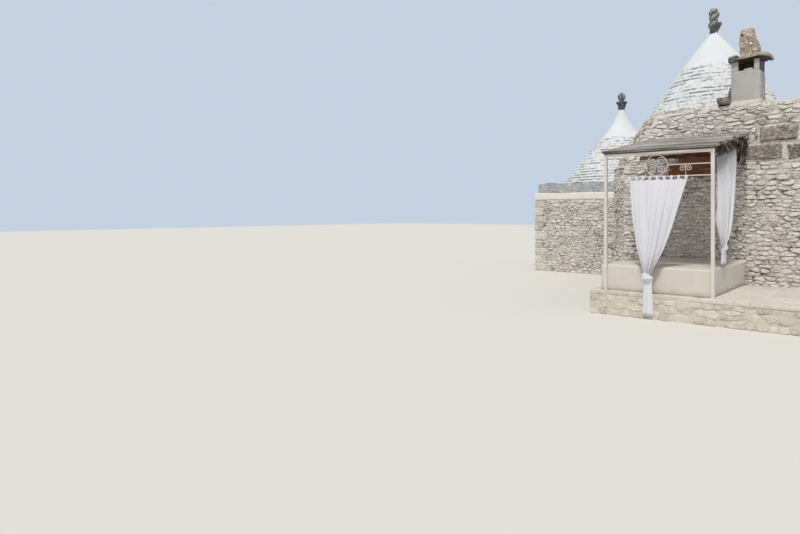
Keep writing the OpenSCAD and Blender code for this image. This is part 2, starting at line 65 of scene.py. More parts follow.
DRUM_R = -span("left_round_wall")[0][0]
FRONT_LOW, FRONT_HIGH = span("front_wall")
FRONT_Y = FRONT_LOW[1]
RIGHT_X = FRONT_HIGH[0]
LEFT_X = FRONT_LOW[0]
WALL_TOP = FRONT_HIGH[2]
PARAPET_HIGH = span("front_parapet")[1]
SKIRT_TOP = span("cone_stone_skirt")[1][2]
WHITE_TOP = span("cone_white_courses")[1][2]
TIP_TOP = span("cone_plaster_tip")[1][2]
SILL_TOP = span("door_sill")[1][2]
DOOR_Y = span("door_sill")[1][1]
LINTEL_LOW, LINTEL_HIGH = span("door_lintel")
SMALL_LOW, SMALL_HIGH = span("small_coping")
SMALL_X, SMALL_Y = (SMALL_LOW[:2] + SMALL_HIGH[:2]) / 2
SMALL_HALF = SMALL_Y - span("small_front_wall")[0][1]
SMALL_RIGHT = SMALL_X + SMALL_HALF
LEDGE_LOW, LEDGE_HIGH = span("small_ledge")
SMALL_WHITE_LOW, SMALL_WHITE_HIGH = span("small_white_courses")
SMALL_CONE_R = (SMALL_WHITE_HIGH[0] - SMALL_WHITE_LOW[0]) / 2
SMALL_TIP_LOW, SMALL_TIP_HIGH = span("small_plaster_tip")
SMALL_SILL_LOW, SMALL_SILL_HIGH = span("small_door_sill")
SMALL_LINTEL_LOW, SMALL_LINTEL_HIGH = span("small_door_lintel")
PODIUM_LOW, PODIUM_HIGH = span("stone_podium")
BENCH_LOW, BENCH_HIGH = span("plaster_bench")
BOARDS_LOW, BOARDS_HIGH = span("canopy_boards")
REED_LOW, REED_HIGH = span("canopy_reed_roof")
RAIL_LOW, RAIL_HIGH = span("front_curtain_rails")
IRON_LOW, IRON_HIGH = span("iron_scrollwork")
CHIMNEY_LOW, CHIMNEY_HIGH = span("chimney_shaft")
SLAB_LOW, SLAB_HIGH = span("chimney_slab")
STONE_LOW, STONE_HIGH = span("chimney_top_stone")

# Sizes that the boxes don't tell, in metres: the outlines of the cones, their courses, the
# corners of the parapet, the rise of the canopy, half the width of each room, the line between
# the two houses and how deep behind a cone's face its inside begins
CONE_H = 3.18
CONE_POWER = 0.88
SMALL_FALL = 0.8
WHITE_COURSES = 12
SMALL_COURSES = 17
SHOULDER = (LEFT_X + 0.69, PARAPET_HIGH[2] - 0.095)
RISE_END = (LEFT_X + 1.51, PARAPET_HIGH[2])
CANOPY_RISE = 0.445
CANOPY_SLOPE = math.atan2(CANOPY_RISE, 2.515)
ROOM_HALF = 1.204
SMALL_ROOM_HALF = 1.254
BETWEEN_X = -1.5
FACE_DEPTH = 0.12
RAIL_Z = RAIL_LOW[2] + 0.008

# Limits of the stones, in metres: how near a border one may sit, its least reach, and how far
# from a border it bends freely; and how many neighbours shape it
NEAREST = 0.004
LEAST_REACH = 0.012
FREE = 0.08
NEIGHBOURS = 12

# Corner stones and lintels, in metres: their height, and the long and the short side
QUOIN_TALL = 0.24
QUOIN_SIDES = (0.36, 0.22)


def main_radius(z):
    """Outer radius of the main cone: R (1 - (z - wall top) / H)^0.88."""
    return DRUM_R * np.maximum(1 - (z - WALL_TOP) / CONE_H, 1e-6) ** CONE_POWER


def small_radius(z):
    return SMALL_CONE_R - SMALL_FALL * (z - SMALL_WHITE_LOW[2])


def unit(vectors):
    return vectors / np.maximum(np.linalg.norm(vectors, axis=-1, keepdims=True), 1e-9)


def circle(count):
    return np.arange(count) * 2 * math.pi / count


def table(*columns):
    """Columns, or single numbers that repeat, side by side along a new last axis."""
    return np.stack(np.broadcast_arrays(*columns), -1)


def halfway(edges, gap=0.0):
    """Middles and half lengths, less a gap, of what lies between neighbouring edges."""
    return (edges[1:] + edges[:-1]) / 2, (edges[1:] - edges[:-1]) / 2 - gap


def run_along(line):
    """The length of a broken line up to each of its points."""
    return np.concatenate([[0], np.cumsum(np.linalg.norm(np.diff(line, axis=0), axis=1))])


def row_ends(rng, length, last, low, high, count, mean=1.0):
    """Ends of pieces laid from 0 to length, each mean times a random number; the last is longer."""
    ends = np.cumsum(mean * rng.uniform(low, high, count))
    return np.concatenate([[0], ends[ends < length - last], [length]])


def ripple(points, scale, seed, octaves=3):
    """Smooth noise: sines of random direction, each octave twice as fine and half as high."""
    rng = np.random.default_rng(seed)
    total = np.zeros(points.shape[:-1])
    for octave in range(octaves):
        turns = rng.normal(size=(3, 3)) * scale * 2**octave
        shifts = rng.uniform(0, 2 * math.pi, 3)
        total += np.sin(points @ turns + shifts).sum(-1) / (3 * 2**octave)
    return total


class Shape:
    """Points, arrays of faces and named values for each point, before they become a mesh."""

    def __init__(self, points, faces, **values):
        self.points = np.asarray(points, float).reshape(-1, 3)
        self.faces = faces if isinstance(faces, list) else [faces]
        count = len(self.points)
        self.values = {
            key: np.broadcast_to(np.asarray(v, float).reshape(-1), count).copy()
            for key, v in values.items()
        }

    @staticmethod
    def joined(shapes):
        """One shape from many that carry the same named values."""
        starts = np.cumsum([0] + [len(s.points) for s in shapes])
        return Shape(
            np.concatenate([s.points for s in shapes]),
            [f + n for s, n in zip(shapes, starts) for f in s.faces],
            **{k: np.concatenate([s.values[k] for s in shapes]) for k in shapes[0].values},
        )


def grid(rows, columns, ring=False, loop=False):
    """Quads between neighbouring points; ring closes each row, and loop joins the last to the first."""
    i = np.arange(rows if loop else rows - 1)[:, None]
    j = np.arange(columns if ring else columns - 1)[None]
    k = (j + 1) % columns
    here, there = i * columns, (i + 1) % rows * columns
    return np.stack([here + j, here + k, there + k, there + j], -1).reshape(-1, 4)


def copies(faces, count, stride):
    """The same faces for each of count shapes whose points follow each other."""
    shift = (np.arange(count) * stride)[:, None, None]
    return (faces[None] + shift).reshape(-1, faces.shape[1])


def capped(body, poles, **values):
    """Rings of points from the foot up, closed by a fan of triangles to each of two poles."""
    rows, around = body.shape[:2]
    j = np.arange(around)
    k, low, last = (j + 1) % around, rows * around, (rows - 1) * around
    faces = [grid(rows, around, ring=True), table(low, k, j), table(low + 1, last + j, last + k)]
    return Shape(np.concatenate([body.reshape(-1, 3), poles]), faces, **values)


def piece(name, shape, coat, replaced=(), uv=None, thickness=0.0):
    """Turns a shape, or several, into an object that rides on the house and wears a finish."""
    if isinstance(shape, list):
        shape = Shape.joined(shape)
    mesh = bpy.data.meshes.new(name)
    mesh.vertices.add(len(shape.points))
    mesh.vertices.foreach_set("co", shape.points.astype(np.float32).ravel())
    corners = np.concatenate([f.ravel() for f in shape.faces]).astype(np.int32)
    sizes = np.concatenate([np.full(len(f), f.shape[1]) for f in shape.faces])
    starts = np.concatenate([[0], np.cumsum(sizes)[:-1]]).astype(np.int32)
    mesh.loops.add(len(corners))
    mesh.loops.foreach_set("vertex_index", corners)
    mesh.polygons.add(len(sizes))
    mesh.polygons.foreach_set("loop_start", starts)
    mesh.polygons.foreach_set("use_smooth", np.full(len(sizes), True))
    mesh.update(calc_edges=True)
    for key, values in shape.values.items():
        layer = mesh.attributes.new(key, "FLOAT", "POINT")
        layer.data.foreach_set("value", values.astype(np.float32))
    if uv is not None:
        layer = mesh.uv_layers.new(name="cloth")
        layer.data.foreach_set("uv", uv[corners].astype(np.float32).ravel())
    thing = bpy.data.objects.new(name, mesh)
    bpy.context.scene.collection.objects.link(thing)
    mesh.materials.append(finish(coat))
    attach(thing, "root")
    if replaced:
        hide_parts(*replaced)
    if thickness:
        thick = thing.modifiers.new("thickness", "SOLIDIFY")
        thick.thickness, thick.offset = thickness, 0
    return thing


def coursed_seeds(rng, length, foot, top, size, split=0.16):
    """Middles of stones in courses of changing height, with stones of changing length.

    Ends are running sums of random lengths; some stones are split in two, and a few left out.
    """
    tall, found = top - foot, []
    count = int(2.5 * tall / size[1]) + 4
    ends = row_ends(rng, tall, 0.4 * size[1], 0.6, 1.55, count, size[1]) + foot
    for low, high in zip(ends[:-1], ends[1:]):
        mean = size[0] * (0.55 + 0.45 * (high - low) / size[1])
        cuts = row_ends(rng, length, 0.35 * mean, 0.45, 1.7, int(3 * length / mean) + 4, mean)
        u = halfway(cuts)[0]
        v = (low + high) / 2 + rng.uniform(-0.2, 0.2, len(u)) * (high - low)
        halved = rng.random(len(u)) < split
        shift = np.where(halved, 0.25 * (high - low), 0)
        found += [table(u, v + shift), table(u, v - shift)[halved]]
    seeds = np.concatenate(found)
    return seeds[rng.random(len(seeds)) >= 0.04]


def reaches(seeds, bounds, stretch, edges, clear, round_here, wrapped):
    """Offsets from each seed to its neighbours and to its mirror images in straight borders."""
    count, squash = len(seeds), np.array([1.0, stretch])
    away = seeds[None] - seeds[:, None]
    if wrapped:
        away[..., 0] = (away[..., 0] + math.pi) % (2 * math.pi) - math.pi
        away[..., 0] *= (round_here[:, None] + round_here[None]) / 2
    away = away * squash
    apart = (away**2).sum(-1)
    np.fill_diagonal(apart, np.inf)
    near = np.argsort(apart, axis=1)[:, : min(NEIGHBOURS, count - 1)]
    offsets = [np.take_along_axis(away, near[..., None], 1)]
    low_u, low_v, high_u, high_v = bounds
    walls = [(low_v, 1, -1), (high_v, 1, 1)]
    if low_u is not None:
        walls += [(low_u, 0, -1), (high_u, 0, 1)]
    for level, axis, way in walls:
        reach = np.abs(level - seeds[:, axis]) * (round_here if axis == 0 else stretch)
        mirror = np.zeros((count, 1, 2))
        mirror[:, 0, axis] = 2 * way * np.maximum(reach, NEAREST)
        offsets.append(mirror)
    for a, b in edges:
        a, b = np.array(a) * squash, np.array(b) * squash
        normal = unit(np.array([b[1] - a[1], a[0] - b[0]]))
        reach = (a - seeds * squash) @ normal
        offsets.append((2 * np.maximum(reach, NEAREST)[:, None] * normal)[:, None])
    for rect in clear:
        held = np.clip(seeds, rect[:2], rect[2:])
        offsets.append((2 * (held - seeds) * squash)[:, None])
    return np.concatenate(offsets, 1)


def stones(rng, seeds, place, bounds, gap=0.012, proud=(0.004, 0.028), stretch=2.3, edges=(),
           clear=(), girth=None, cap=0.4, rings=(0.66, 0.9, 1.0), rise=(1.0, 0.84, -0.3),
           lean=0.13, bend=0.018):
    """Broken stones that fill a face between its seeds.

    From a seed, a stone reaches r along the direction e, where 1/r is the corner-norm of
    2 d.e / d.d over the offsets d to the neighbours that lie that way. A straight border acts
    as a mirrored neighbour. Rings of the rim scaled inwards rise from the mortar to the face.
    At last a slow noise of height bend shifts every point along the face.
    """
    sides, corner, wave = 12, 14.0, 0.04
    for low_u, low_v, high_u, high_v in clear:
        inside = (seeds > (low_u, low_v)).all(1) & (seeds < (high_u, high_v)).all(1)
        seeds = seeds[~inside]
    for (au, av), (bu, bv) in edges:
        side = (seeds[:, 0] - au) * (bv - av) - (seeds[:, 1] - av) * (bu - au)
        seeds = seeds[side < -0.02 * math.hypot(bu - au, bv - av)]
    count = len(seeds)
    round_here = np.ones(count) if girth is None else girth(seeds[:, 1])
    offsets = reaches(seeds, bounds, stretch, edges, clear, round_here, girth is not None)
    turn = circle(sides)
    ways = np.stack([np.cos(turn), np.sin(turn)])
    low_u, low_v, high_u, high_v = bounds
    pull = 2 * offsets @ ways / np.maximum((offsets**2).sum(-1), 1e-8)[..., None]
    rim = (np.maximum(pull, 0) ** corner).sum(1) ** (-1 / corner)
    rim = np.clip(np.minimum(rim, cap) - gap / 2, LEAST_REACH, None)
    phase = rng.uniform(0, 2 * math.pi, (count, 2, 1))
    rim = rim * (0.98 + wave * (np.sin(2 * turn + phase[:, 0]) + np.sin(5 * turn + phase[:, 1])))
    rings, rise = np.array(rings), np.array(rise)
    last = len(rings)
    out = rim[:, None, :] * rings[None, :, None]
    du = out * ways[0] / round_here[:, None, None]
    dv = out * ways[1] / stretch
    lift = rng.uniform(*proud, count)[:, None, None]
    tip = rng.uniform(-lean, lean, (count, 2, 1, 1))
    calm = np.where(rings < 1, 1, 0.2)[:, None]
    rough = rng.uniform(-0.5, 0.4, (count, last, sides)) * calm
    h = lift * (rise[None, :, None] + rough)
    h += (tip[:, 0] * out * ways[0] + tip[:, 1] * out * ways[1]) * (rings < 1)[:, None]
    u = np.concatenate([seeds[:, :1], (seeds[:, :1, None] + du).reshape(count, -1)], 1)
    v = np.concatenate([seeds[:, 1:], (seeds[:, 1:, None] + dv).reshape(count, -1)], 1)
    h = np.concatenate([lift[:, 0] * rise[0], h.reshape(count, -1)], 1)
    spot = np.stack([u * round_here[:, None], v, 0 * u], -1)
    calm = np.minimum(v - low_v, high_v - v)
    if low_u is not None:
        calm = np.minimum(calm, np.minimum(u - low_u, high_u - u) * round_here[:, None])
    calm = bend * np.clip(calm / FREE, 0, 1)
    u = u + calm * ripple(spot, 11.0, 5) / round_here[:, None]
    v = v + 0.7 * calm * ripple(spot, 13.0, 6)
    points = place(u, v, h)
    j = np.arange(sides)
    fan = table(0, 1 + j, 1 + (j + 1) % sides)
    bands = 1 + grid(last, sides, ring=True)[:, [0, 3, 2, 1]]
    stride = 1 + last * sides
    faces = [copies(fan, count, stride), copies(bands, count, stride)]
    edge = np.concatenate([[0], np.repeat(rings**3, sides)])
    # The rim's share that faces down, kept as under: the stone coats paint shade there
    below = edge * np.concatenate([[0], np.tile(np.maximum(-ways[1], 0) ** 0.7, last)])
    tone = np.repeat(rng.random(count), stride)
    return Shape(points, faces, tone=tone, rim=np.tile(edge, count), under=np.tile(below, count))


def lattice(steps):
    """The surface of a cube as shares of a core and of an edge radius, with its quads."""
    middle = list(np.linspace(-1, 1, steps + 1)[1:-1])
    core = np.array([-1, -1, -1] + middle + [1, 1, 1], float)
    edge = np.array([-1, -0.5, 0] + [0] * len(middle) + [0, 0.5, 1], float)
    m = len(core)
    at = np.indices((m, m, m)).reshape(3, -1).T
    skin = ((at == 0) | (at == m - 1)).any(1)
    number = np.full(m**3, -1)
    number[skin] = np.arange(skin.sum())
    number = number.reshape(m, m, m)
    quads = []
    for axis in range(3):
        for side in (0, m - 1):
            s = np.take(number, side, axis)
            q = np.stack([s[:-1, :-1], s[1:, :-1], s[1:, 1:], s[:-1, 1:]], -1).reshape(-1, 4)
            quads.append(q[:, ::-1] if (axis == 1) != (side == 0) else q)
    at = at[skin]
    return core[at], edge[at], np.concatenate(quads)


def blocks(rng, middles, halves, radius=0.02, bump=0.004, rough=9.0, turns=None, steps=2):
    """Rounded blocks: each point is a core point plus the radius along its unit edge share.

    turns gives each block's own x, y and z directions; bump is the height of the noise.
    """
    middles = np.atleast_2d(np.asarray(middles, float))
    count = len(middles)
    halves = np.broadcast_to(np.asarray(halves, float), (count, 3))
    core, edge, quads = lattice(steps)
    radius = np.minimum(np.broadcast_to(radius, (count,)), halves.min(1) * 0.98)[:, None, None]
    way = unit(edge)
    points = core[None] * (halves[:, None] - radius) + radius * way[None]
    wave = ripple(points + middles[:, None] * 3.1, rough, rng.integers(1 << 30))
    points = points + way[None] * (bump * wave)[..., None]
    if turns is not None:
        points = np.einsum("nvi,nij->nvj", points, turns)
    points = points + middles[:, None]
    rim = np.clip(np.abs(edge).sum(1) - 1, 0, 1)
    tone = np.repeat(rng.random(count), len(core))
    # The share of each point that faces down, kept as under: the stone coats paint shade there
    below = np.tile(np.maximum(-way[:, 2], 0), count)
    return Shape(points, copies(quads, count, len(core)), tone=tone, rim=np.tile(rim, count),
                 under=below)


def tilted(angle, axis="y", count=1):
    """Rows are a block's own x, y and z directions after a turn about one axis."""
    angle = np.broadcast_to(angle, (count,))
    c, s, o, i = np.cos(angle), np.sin(angle), np.zeros(count), np.ones(count)
    rows = {
        "x": [[i, o, o], [o, c, s], [o, -s, c]],
        "y": [[c, o, -s], [o, i, o], [s, o, c]],
        "z": [[c, s, o], [-s, c, o], [o, o, i]],
    }[axis]
    return np.array(rows).transpose(2, 0, 1)


def tubes(paths, radii, sides=6, up=(0, 0, 1), tone=None, closed=False):
    """Round bars: each ring is radius times (cos a * side + sin a * top) about its path."""
    paths = np.asarray(paths, float)
    count, length = paths.shape[:2]
    step = np.roll(paths, -1, 1) - np.roll(paths, 1, 1) if closed else np.gradient(paths, axis=1)
    along = unit(step)
    side = unit(np.cross(along, np.broadcast_to(up, along.shape)))
    top = np.cross(side, along)
    a = circle(sides)
    rings = np.cos(a)[:, None] * side[:, :, None] + np.sin(a)[:, None] * top[:, :, None]
    radii = np.broadcast_to(radii, (count, length))
    points = paths[:, :, None] + radii[..., None, None] * rings
    stride = length * sides
    faces = [copies(grid(length, sides, True, closed)[:, ::-1], count, stride)]
    if not closed:
        start = np.arange(sides)[None]
        faces += [copies(end, count, stride) for end in (start, stride - 1 - start)]
    tone = np.random.default_rng(count).random(count) if tone is None else tone
    return Shape(points, faces, tone=np.repeat(tone, stride), rim=0.0)


def column(centre, rings, power=2.0, around=48, along=40, bump=0.0, rough=12.0, seed=0,
           lean=0.0, top=None):
    """A closed upright lump through rings of (half width, half depth, height) or (radius, height).

    Each ring is the superellipse x = a |cos t|^(2/power), y = b |sin t|^(2/power), signed, and
    the noise moves its points straight out. It leans along x and ends in a point at each end.
    """
    rings = [(ring[0], ring[-2], ring[-1]) for ring in rings]
    ends = [(0, 0, rings[0][2]), (0, 0, rings[-1][2] if top is None else top)]
    rings = np.array([ends[0], *rings, ends[1]], float)
    run = run_along(rings)
    s = np.linspace(0, run[-1], along)
    hx, hy, z = (np.interp(s, run, rings[:, k]) for k in range(3))
    t = circle(around)
    c, q = np.cos(t), np.sin(t)
    x = np.sign(c) * np.abs(c) ** (2 / power) * hx[1:-1, None]
    y = np.sign(q) * np.abs(q) ** (2 / power) * hy[1:-1, None]
    body = table(x, y, z[1:-1, None])
    out = unit(body * (1, 1, 0) + np.array([0, 0, 1e-9]))
    body = body + out * (bump * ripple(body + np.array(centre), rough, seed, 4))[..., None]
    body[..., 0] += lean * (body[..., 2] - z[0])
    poles = np.array([(0, 0, z[0]), (lean * (z[-1] - z[0]), 0, z[-1])])
    return capped(body + centre, poles + centre, tone=0.5, rim=0.0)


def facing(rng, size, start, along, length, foot, top, boxes=(), openings=(), **words):
    """Coursed stones on a flat upright face, kept clear of openings and of boxes that reach it.

    u runs along the face with the outside on the right, v up and h outwards.
    """
    start, along, margin = np.array(start, float), np.array(along, float), 0.012
    out = np.array([along[1], -along[0]])
    clear = []
    for low, high in boxes:
        ends = np.stack([low[:2], high[:2]]) - start
        reach, run = ends @ out, ends @ along
        met = reach.max() > 0.004 and reach.min() < -0.02
        if met and run.max() + margin > 0 and run.min() - margin < length:
            clear.append((run.min() - margin, low[2] - margin, run.max() + margin, high[2] + margin))

    def place(u, v, h):
        xy = start + u[..., None] * along + h[..., None] * out
        return np.concatenate([xy, v[..., None]], -1)

    seeds = coursed_seeds(rng, length, foot, top, size)
    return stones(rng, seeds, place, (0, foot, length, top), clear=clear + list(openings), **words)


def revolved(radius, foot=0.0, slope=0.0):
    """Places (angle, v, h) on a surface round the axis, from its radius and slope at v."""

    def place(u, v, h):
        r = radius(v) + h * np.cos(slope)
        return table(r * np.cos(u), r * np.sin(u), foot + v + h * np.sin(slope))

    return place


def flat(z):
    return lambda u, v, h: table(u, v, z + h)


def quoins(rng, corner, inward, foot, top, proud=(0.02, 0.02)):
    """Corner stones, long on one face and short on the other by turns, and their boxes."""
    count = max(1, round((top - foot) / QUOIN_TALL))
    edges = np.linspace(foot, top, count + 1)
    edges[1:-1] += rng.uniform(-0.03, 0.03, count - 1)
    long = (np.arange(count) + rng.integers(2)) % 2 == 0
    wide = np.where(long, *QUOIN_SIDES) + rng.uniform(-0.03, 0.05, count)
    deep = np.where(long, *QUOIN_SIDES[::-1]) + rng.uniform(-0.03, 0.05, count)
    jut = rng.uniform(-0.006, 0.0, (2, count))
    z, half = halfway(edges, 0.005)
    middles = table(corner[0] + inward[0] * (wide / 2 - proud[0] - jut[0]),
                    corner[1] + inward[1] * (deep / 2 - proud[1] - jut[1]), z)
    halves = table(wide / 2, deep / 2, half)
    return blocks(rng, middles, halves, 0.022, 0.006), list(zip(middles - halves, middles + halves))


def stacked(rng, name, corners):
    """Builds the corner stones of one house as a piece, and gives their boxes."""
    stacks = [quoins(rng, *corner) for corner in corners]
    piece(name, [s for s, _ in stacks], "pale_limestone")
    return [box for _, found in stacks for box in found]


# Finishes


def hue(text):
    """A linear colour from hexadecimal red, green and blue."""
    parts = [int(text[i : i + 2], 16) / 255 for i in (0, 2, 4)]
    return tuple(p / 12.92 if p <= 0.04045 else ((p + 0.055) / 1.055) ** 2.4 for p in parts) + (1,)


def operator(operation, swapped=False):
    """A method that adds one Math node."""

    def method(self, other=0.0):
        first, second = (other, self) if swapped else (self, other)
        return self.tree.node("Math", {"operation": operation}, {0: first, 1: second})

    return method


class Value:
    """A shader socket that takes part in arithmetic; each operator adds one Math node."""

    __add__ = __radd__ = operator("ADD")
    __sub__ = operator("SUBTRACT")
    __rsub__ = operator("SUBTRACT", swapped=True)
    __mul__ = __rmul__ = operator("MULTIPLY")
    __truediv__ = operator("DIVIDE")
    __pow__ = operator("POWER")
    __abs__ = operator("ABSOLUTE")
    __lt__ = operator("LESS_THAN")
    __gt__ = operator("GREATER_THAN")
    either = operator("MAXIMUM")
    sine = operator("SINE")
    fract = operator("FRACT")

    def __init__(self, tree, socket):
        self.tree, self.socket = tree, socket

    def steps(self, low, high):
        """0 below low, 1 above high and a smooth rise between."""
        settings = {"interpolation_type": "SMOOTHSTEP"}
        return self.tree.node("MapRange", settings, {0: self, 1: low, 2: high})

    def parts(self):
        """The x, y and z of a vector."""
        apart = self.tree.node("SeparateXYZ", {}, {0: self}, whole=True)
        return [Value(self.tree, apart.outputs[i]) for i in range(3)]


class Nodes:
    """An emptied node tree, and the one method that adds any node to it."""

    def __init__(self, owner):
        owner.use_nodes = True
        self.tree = owner.node_tree
        self.tree.nodes.clear()

    def node(self, kind, settings=None, values=None, out=0, whole=False):
        made = self.tree.nodes.new("ShaderNode" + kind)
        for key, setting in (settings or {}).items():
            if key == "stops":
                ramp = made.color_ramp.elements
                while len(ramp) < len(setting):
                    ramp.new(0.5)
                for element, (at, _) in zip(ramp, setting):
                    element.position = at
                for element, (_, color) in zip(ramp, setting):
                    element.color = color
            else:
                setattr(made, key, setting)
        for key, value in (values or {}).items():
            if isinstance(value, Value):
                self.tree.links.new(value.socket, made.inputs[key])
            else:
                made.inputs[key].default_value = value
        return made if whole else Value(self, made.outputs[out])


class Coat(Nodes):
    """One procedural material whose colour is painted in layers, from the base up."""

    def __init__(self, name):
        self.material = bpy.data.materials.new(name)
        super().__init__(self.material)
        self.color = None
        self.place = self.node("TexCoord", out="Object")
        self.x, self.y, self.z = self.place.parts()

    def layer(self, name):
        return self.node("Attribute", {"attribute_name": name}, out="Fac")

    def noise(self, scale, detail=4.0, rough=0.55, stretch=None):
        at = self.place
        if stretch:
            at = self.node("VectorMath", {"operation": "MULTIPLY"}, {0: at, 1: stretch})
        values = {"Vector": at, "Scale": scale, "Detail": detail, "Roughness": rough}
        return self.node("TexNoise", {}, values)

    def mix(self, first, second, share, mode="MIX"):
        first, second = (hue(c) if isinstance(c, str) else c for c in (first, second))
        settings = {"data_type": "RGBA", "blend_type": mode}
        return self.node("Mix", settings, {0: share, 6: first, 7: second}, out=2)

    def ramp(self, value, *colors):
        stops = [(i / (len(colors) - 1), hue(c)) for i, c in enumerate(colors)]
        return self.node("ValToRGB", {"stops": stops}, {0: value})

    def base(self, value, *colors):
        self.color = self.ramp(value, *colors)

    def dab(self, color, share, mode="MIX"):
        """Lays a colour over what is there, fully where share is 1."""
        self.color = self.mix(self.color, color, share, mode)

    def surface(self, rough, height=None, depth=0.01, gloss=0.5, sheen=0.0):
        """The shader itself: the painted colour, its roughness and its bump."""
        values = {"Base Color": self.color, "Roughness": rough, "Specular IOR Level": gloss,
                  "Sheen Weight": sheen}
        if height is not None:
            bump = {"Strength": 1.0, "Distance": depth, "Height": height}
            values["Normal"] = self.node("Bump", {}, bump)
        shader = self.node("BsdfPrincipled", {}, values)
        self.node("OutputMaterial", {}, {0: shader}, whole=True)
        return self.material

    def main_shell(self):
        """Distance outwards from the main cone's face."""
        far = (self.x * self.x + self.y * self.y) ** 0.5
        return far - ((1 - (self.z - WALL_TOP) / CONE_H) ** CONE_POWER) * DRUM_R


def stone_coat(name, colors, joint, smear=0.8, lichen=0.5, orange=0.0, pits=0.5, wash=0.0,
               flecks=0.72, shade=0.85, painted_sunlight=0.0, spots="b3953f"):
    """Weathered stone: its own tone, clouds, lichen, pits, lime or dirt at its rim, painted shade below
    and, when asked, painted sunlight.
    """
    c = Coat(name)
    cloud, lump, grit = c.noise(4.5, 3), c.noise(12, 5, 0.65), c.noise(38, 6, 0.72)
    c.base(c.layer("tone") * 0.7 + cloud * 0.5 + lump * 0.7 - 0.46, *colors)
    c.dab("ffffff", (grit - 0.5) * 0.7 + 0.15, "SOFT_LIGHT")
    c.dab("625c54", c.noise(9, 6, 0.74).steps(0.54, 0.66) * lichen)
    fleck = c.noise(19, 5, 0.75, stretch=(1, 1, 1.7))
    c.dab("463e36", fleck.steps(0.555, 0.6) * flecks)
    c.dab("f8f4ee", (1 - fleck).steps(0.51, 0.58) * flecks)
    if orange:
        c.dab(spots, c.noise(13, 5, 0.7).steps(0.56, 0.66) * orange)
    holes = c.noise(60, 4, 0.65).steps(0.6, 0.7) * pits
    c.dab("453f37", holes * 0.75)
    lime = c.noise(1.5, 5, 0.62)
    fresh = lime.steps(0.46, 0.58)
    side = (c.layer("rim") + (grit - 0.5) * 1.1 + (cloud - 0.5) * 0.9).steps(0.6, 1.0)
    c.dab("7a7268", side * (1 - fresh) * 0.3)
    c.dab(joint, side * fresh * smear)
    if wash:
        c.dab(joint, (lime + (lump - 0.5) * 0.9 + (grit - 0.5) * 0.4).steps(0.5, 0.66) * wash)
    # Painted sunlight: the main house's upper walls lighter, less so to the right, with a lit patch low at
    # the far right
    if painted_sunlight:
        sun = (c.z + (cloud - 0.5) * 0.8).steps(2.5, 3.0) * (c.x > BETWEEN_X) * painted_sunlight
        sun = sun * (1 - (c.x - 0.4).steps(0.0, 0.8) * 0.75)
        sun = sun + (c.x > 1.1) * (c.z < 2.75) * 0.42
        c.dab("f1eae6", sun * (lump + 0.35))
    # Painted shade under each stone: broken dark strokes where the stone's rim faces down
    shade_noise = c.noise(3.4, 4, 0.65, stretch=(1, 1, 2.4))
    gap = (c.layer("under") + (grit - 0.5) * 0.8 + (shade_noise - 0.5) * 1.5).steps(0.54, 0.78)
    c.dab("352f29", gap * shade)
    return c.surface(0.92, cloud * 0.5 + lump * 1.1 + grit * 0.55 - holes * 0.6, 0.02, 0.25)


def ledge_stone():
    """Rough ledge under thin whitewash, greyed by rain, streaked along its beds, with painted shade on its
    undersides.
    """
    c = Coat("ledge_limestone")
    cloud, grit = c.noise(3.5, 4), c.noise(40, 6, 0.7)
    lump = c.noise(9, 5, 0.62, stretch=(1, 1, 2.2))
    tint = c.layer("tone") * 0.35 + cloud * 0.5 + lump * 0.6 - 0.26
    c.base(tint, "97989b", "b3b4b5", "cbcccc", "e2e3e3")
    c.dab("777b80", c.noise(4.5, 5, 0.7, stretch=(1, 1, 3)).steps(0.5, 0.64) * 0.45)
    c.dab("e8e9ea", c.noise(6, 5, 0.7, stretch=(1, 1, 2)).steps(0.54, 0.66) * 0.6)
    # Painted shade on the faces of the lumps that look down
    c.dab("56595d", (c.layer("under") + (grit - 0.5) * 0.8).steps(0.5, 0.8) * 0.8)
    return c.surface(0.92, cloud * 0.5 + lump + grit * 0.5, 0.02, 0.25)


def room_mask(c):
    """1 on the faces inside the two rooms and in their doorways, and 0 outside."""
    door_x, small_door_x, floor_z = 1.0, -2.5, 0.54
    main = (abs(c.x) < ROOM_HALF) * (abs(c.y) < ROOM_HALF)
    door = (abs(c.y) < DOOR_Y + 0.003) * (c.x > door_x) * (c.x < RIGHT_X - 0.004)
    middle = (SMALL_SILL_LOW[1] + SMALL_SILL_HIGH[1]) / 2
    wide = (SMALL_SILL_HIGH[1] - SMALL_SILL_LOW[1]) / 2
    small = (abs(c.x - SMALL_X) < SMALL_ROOM_HALF) * (abs(c.y - SMALL_Y) < SMALL_ROOM_HALF)
    small_door = abs(c.y - middle) < wide + 0.003
    small_door = small_door * (c.x > small_door_x) * (c.x < SMALL_RIGHT - 0.004)
    return (main + door + small + small_door) * (c.z > floor_z) > 0.5


def lime_mortar():
    """Joints: pale lime where it lasts, deep shade and earth where it has washed out."""
    c = Coat("lime_mortar")
    cloud, grit = c.noise(2.2, 4), c.noise(45, 6, 0.75)
    lime = c.ramp(cloud * 0.7 + grit * 0.6 - 0.15, "a9a197", "c6beb4", "d9d2c9", "e6e1da")
    fleck = c.noise(19, 5, 0.75, stretch=(1, 1, 1.7))
    lime = c.mix(lime, "6d645b", fleck.steps(0.54, 0.63) * 0.5)
    left = (c.noise(1.5, 5, 0.62) + (c.noise(11, 4, 0.6) - 0.5) * 0.9).steps(0.3, 0.44)
    c.base(c.noise(16, 5, 0.7), "453f37", "6b6459", "8c8478")
    c.dab(lime, left)
    inside = room_mask(c)
    c.dab(c.ramp(c.noise(1.1, 4), "d9d6cf", "e9e7e2", "efeeea"), inside)
    return c.surface(0.94, (cloud * 0.6 + grit + left * 0.5) * (1 - inside * 0.85), 0.014, 0.2)


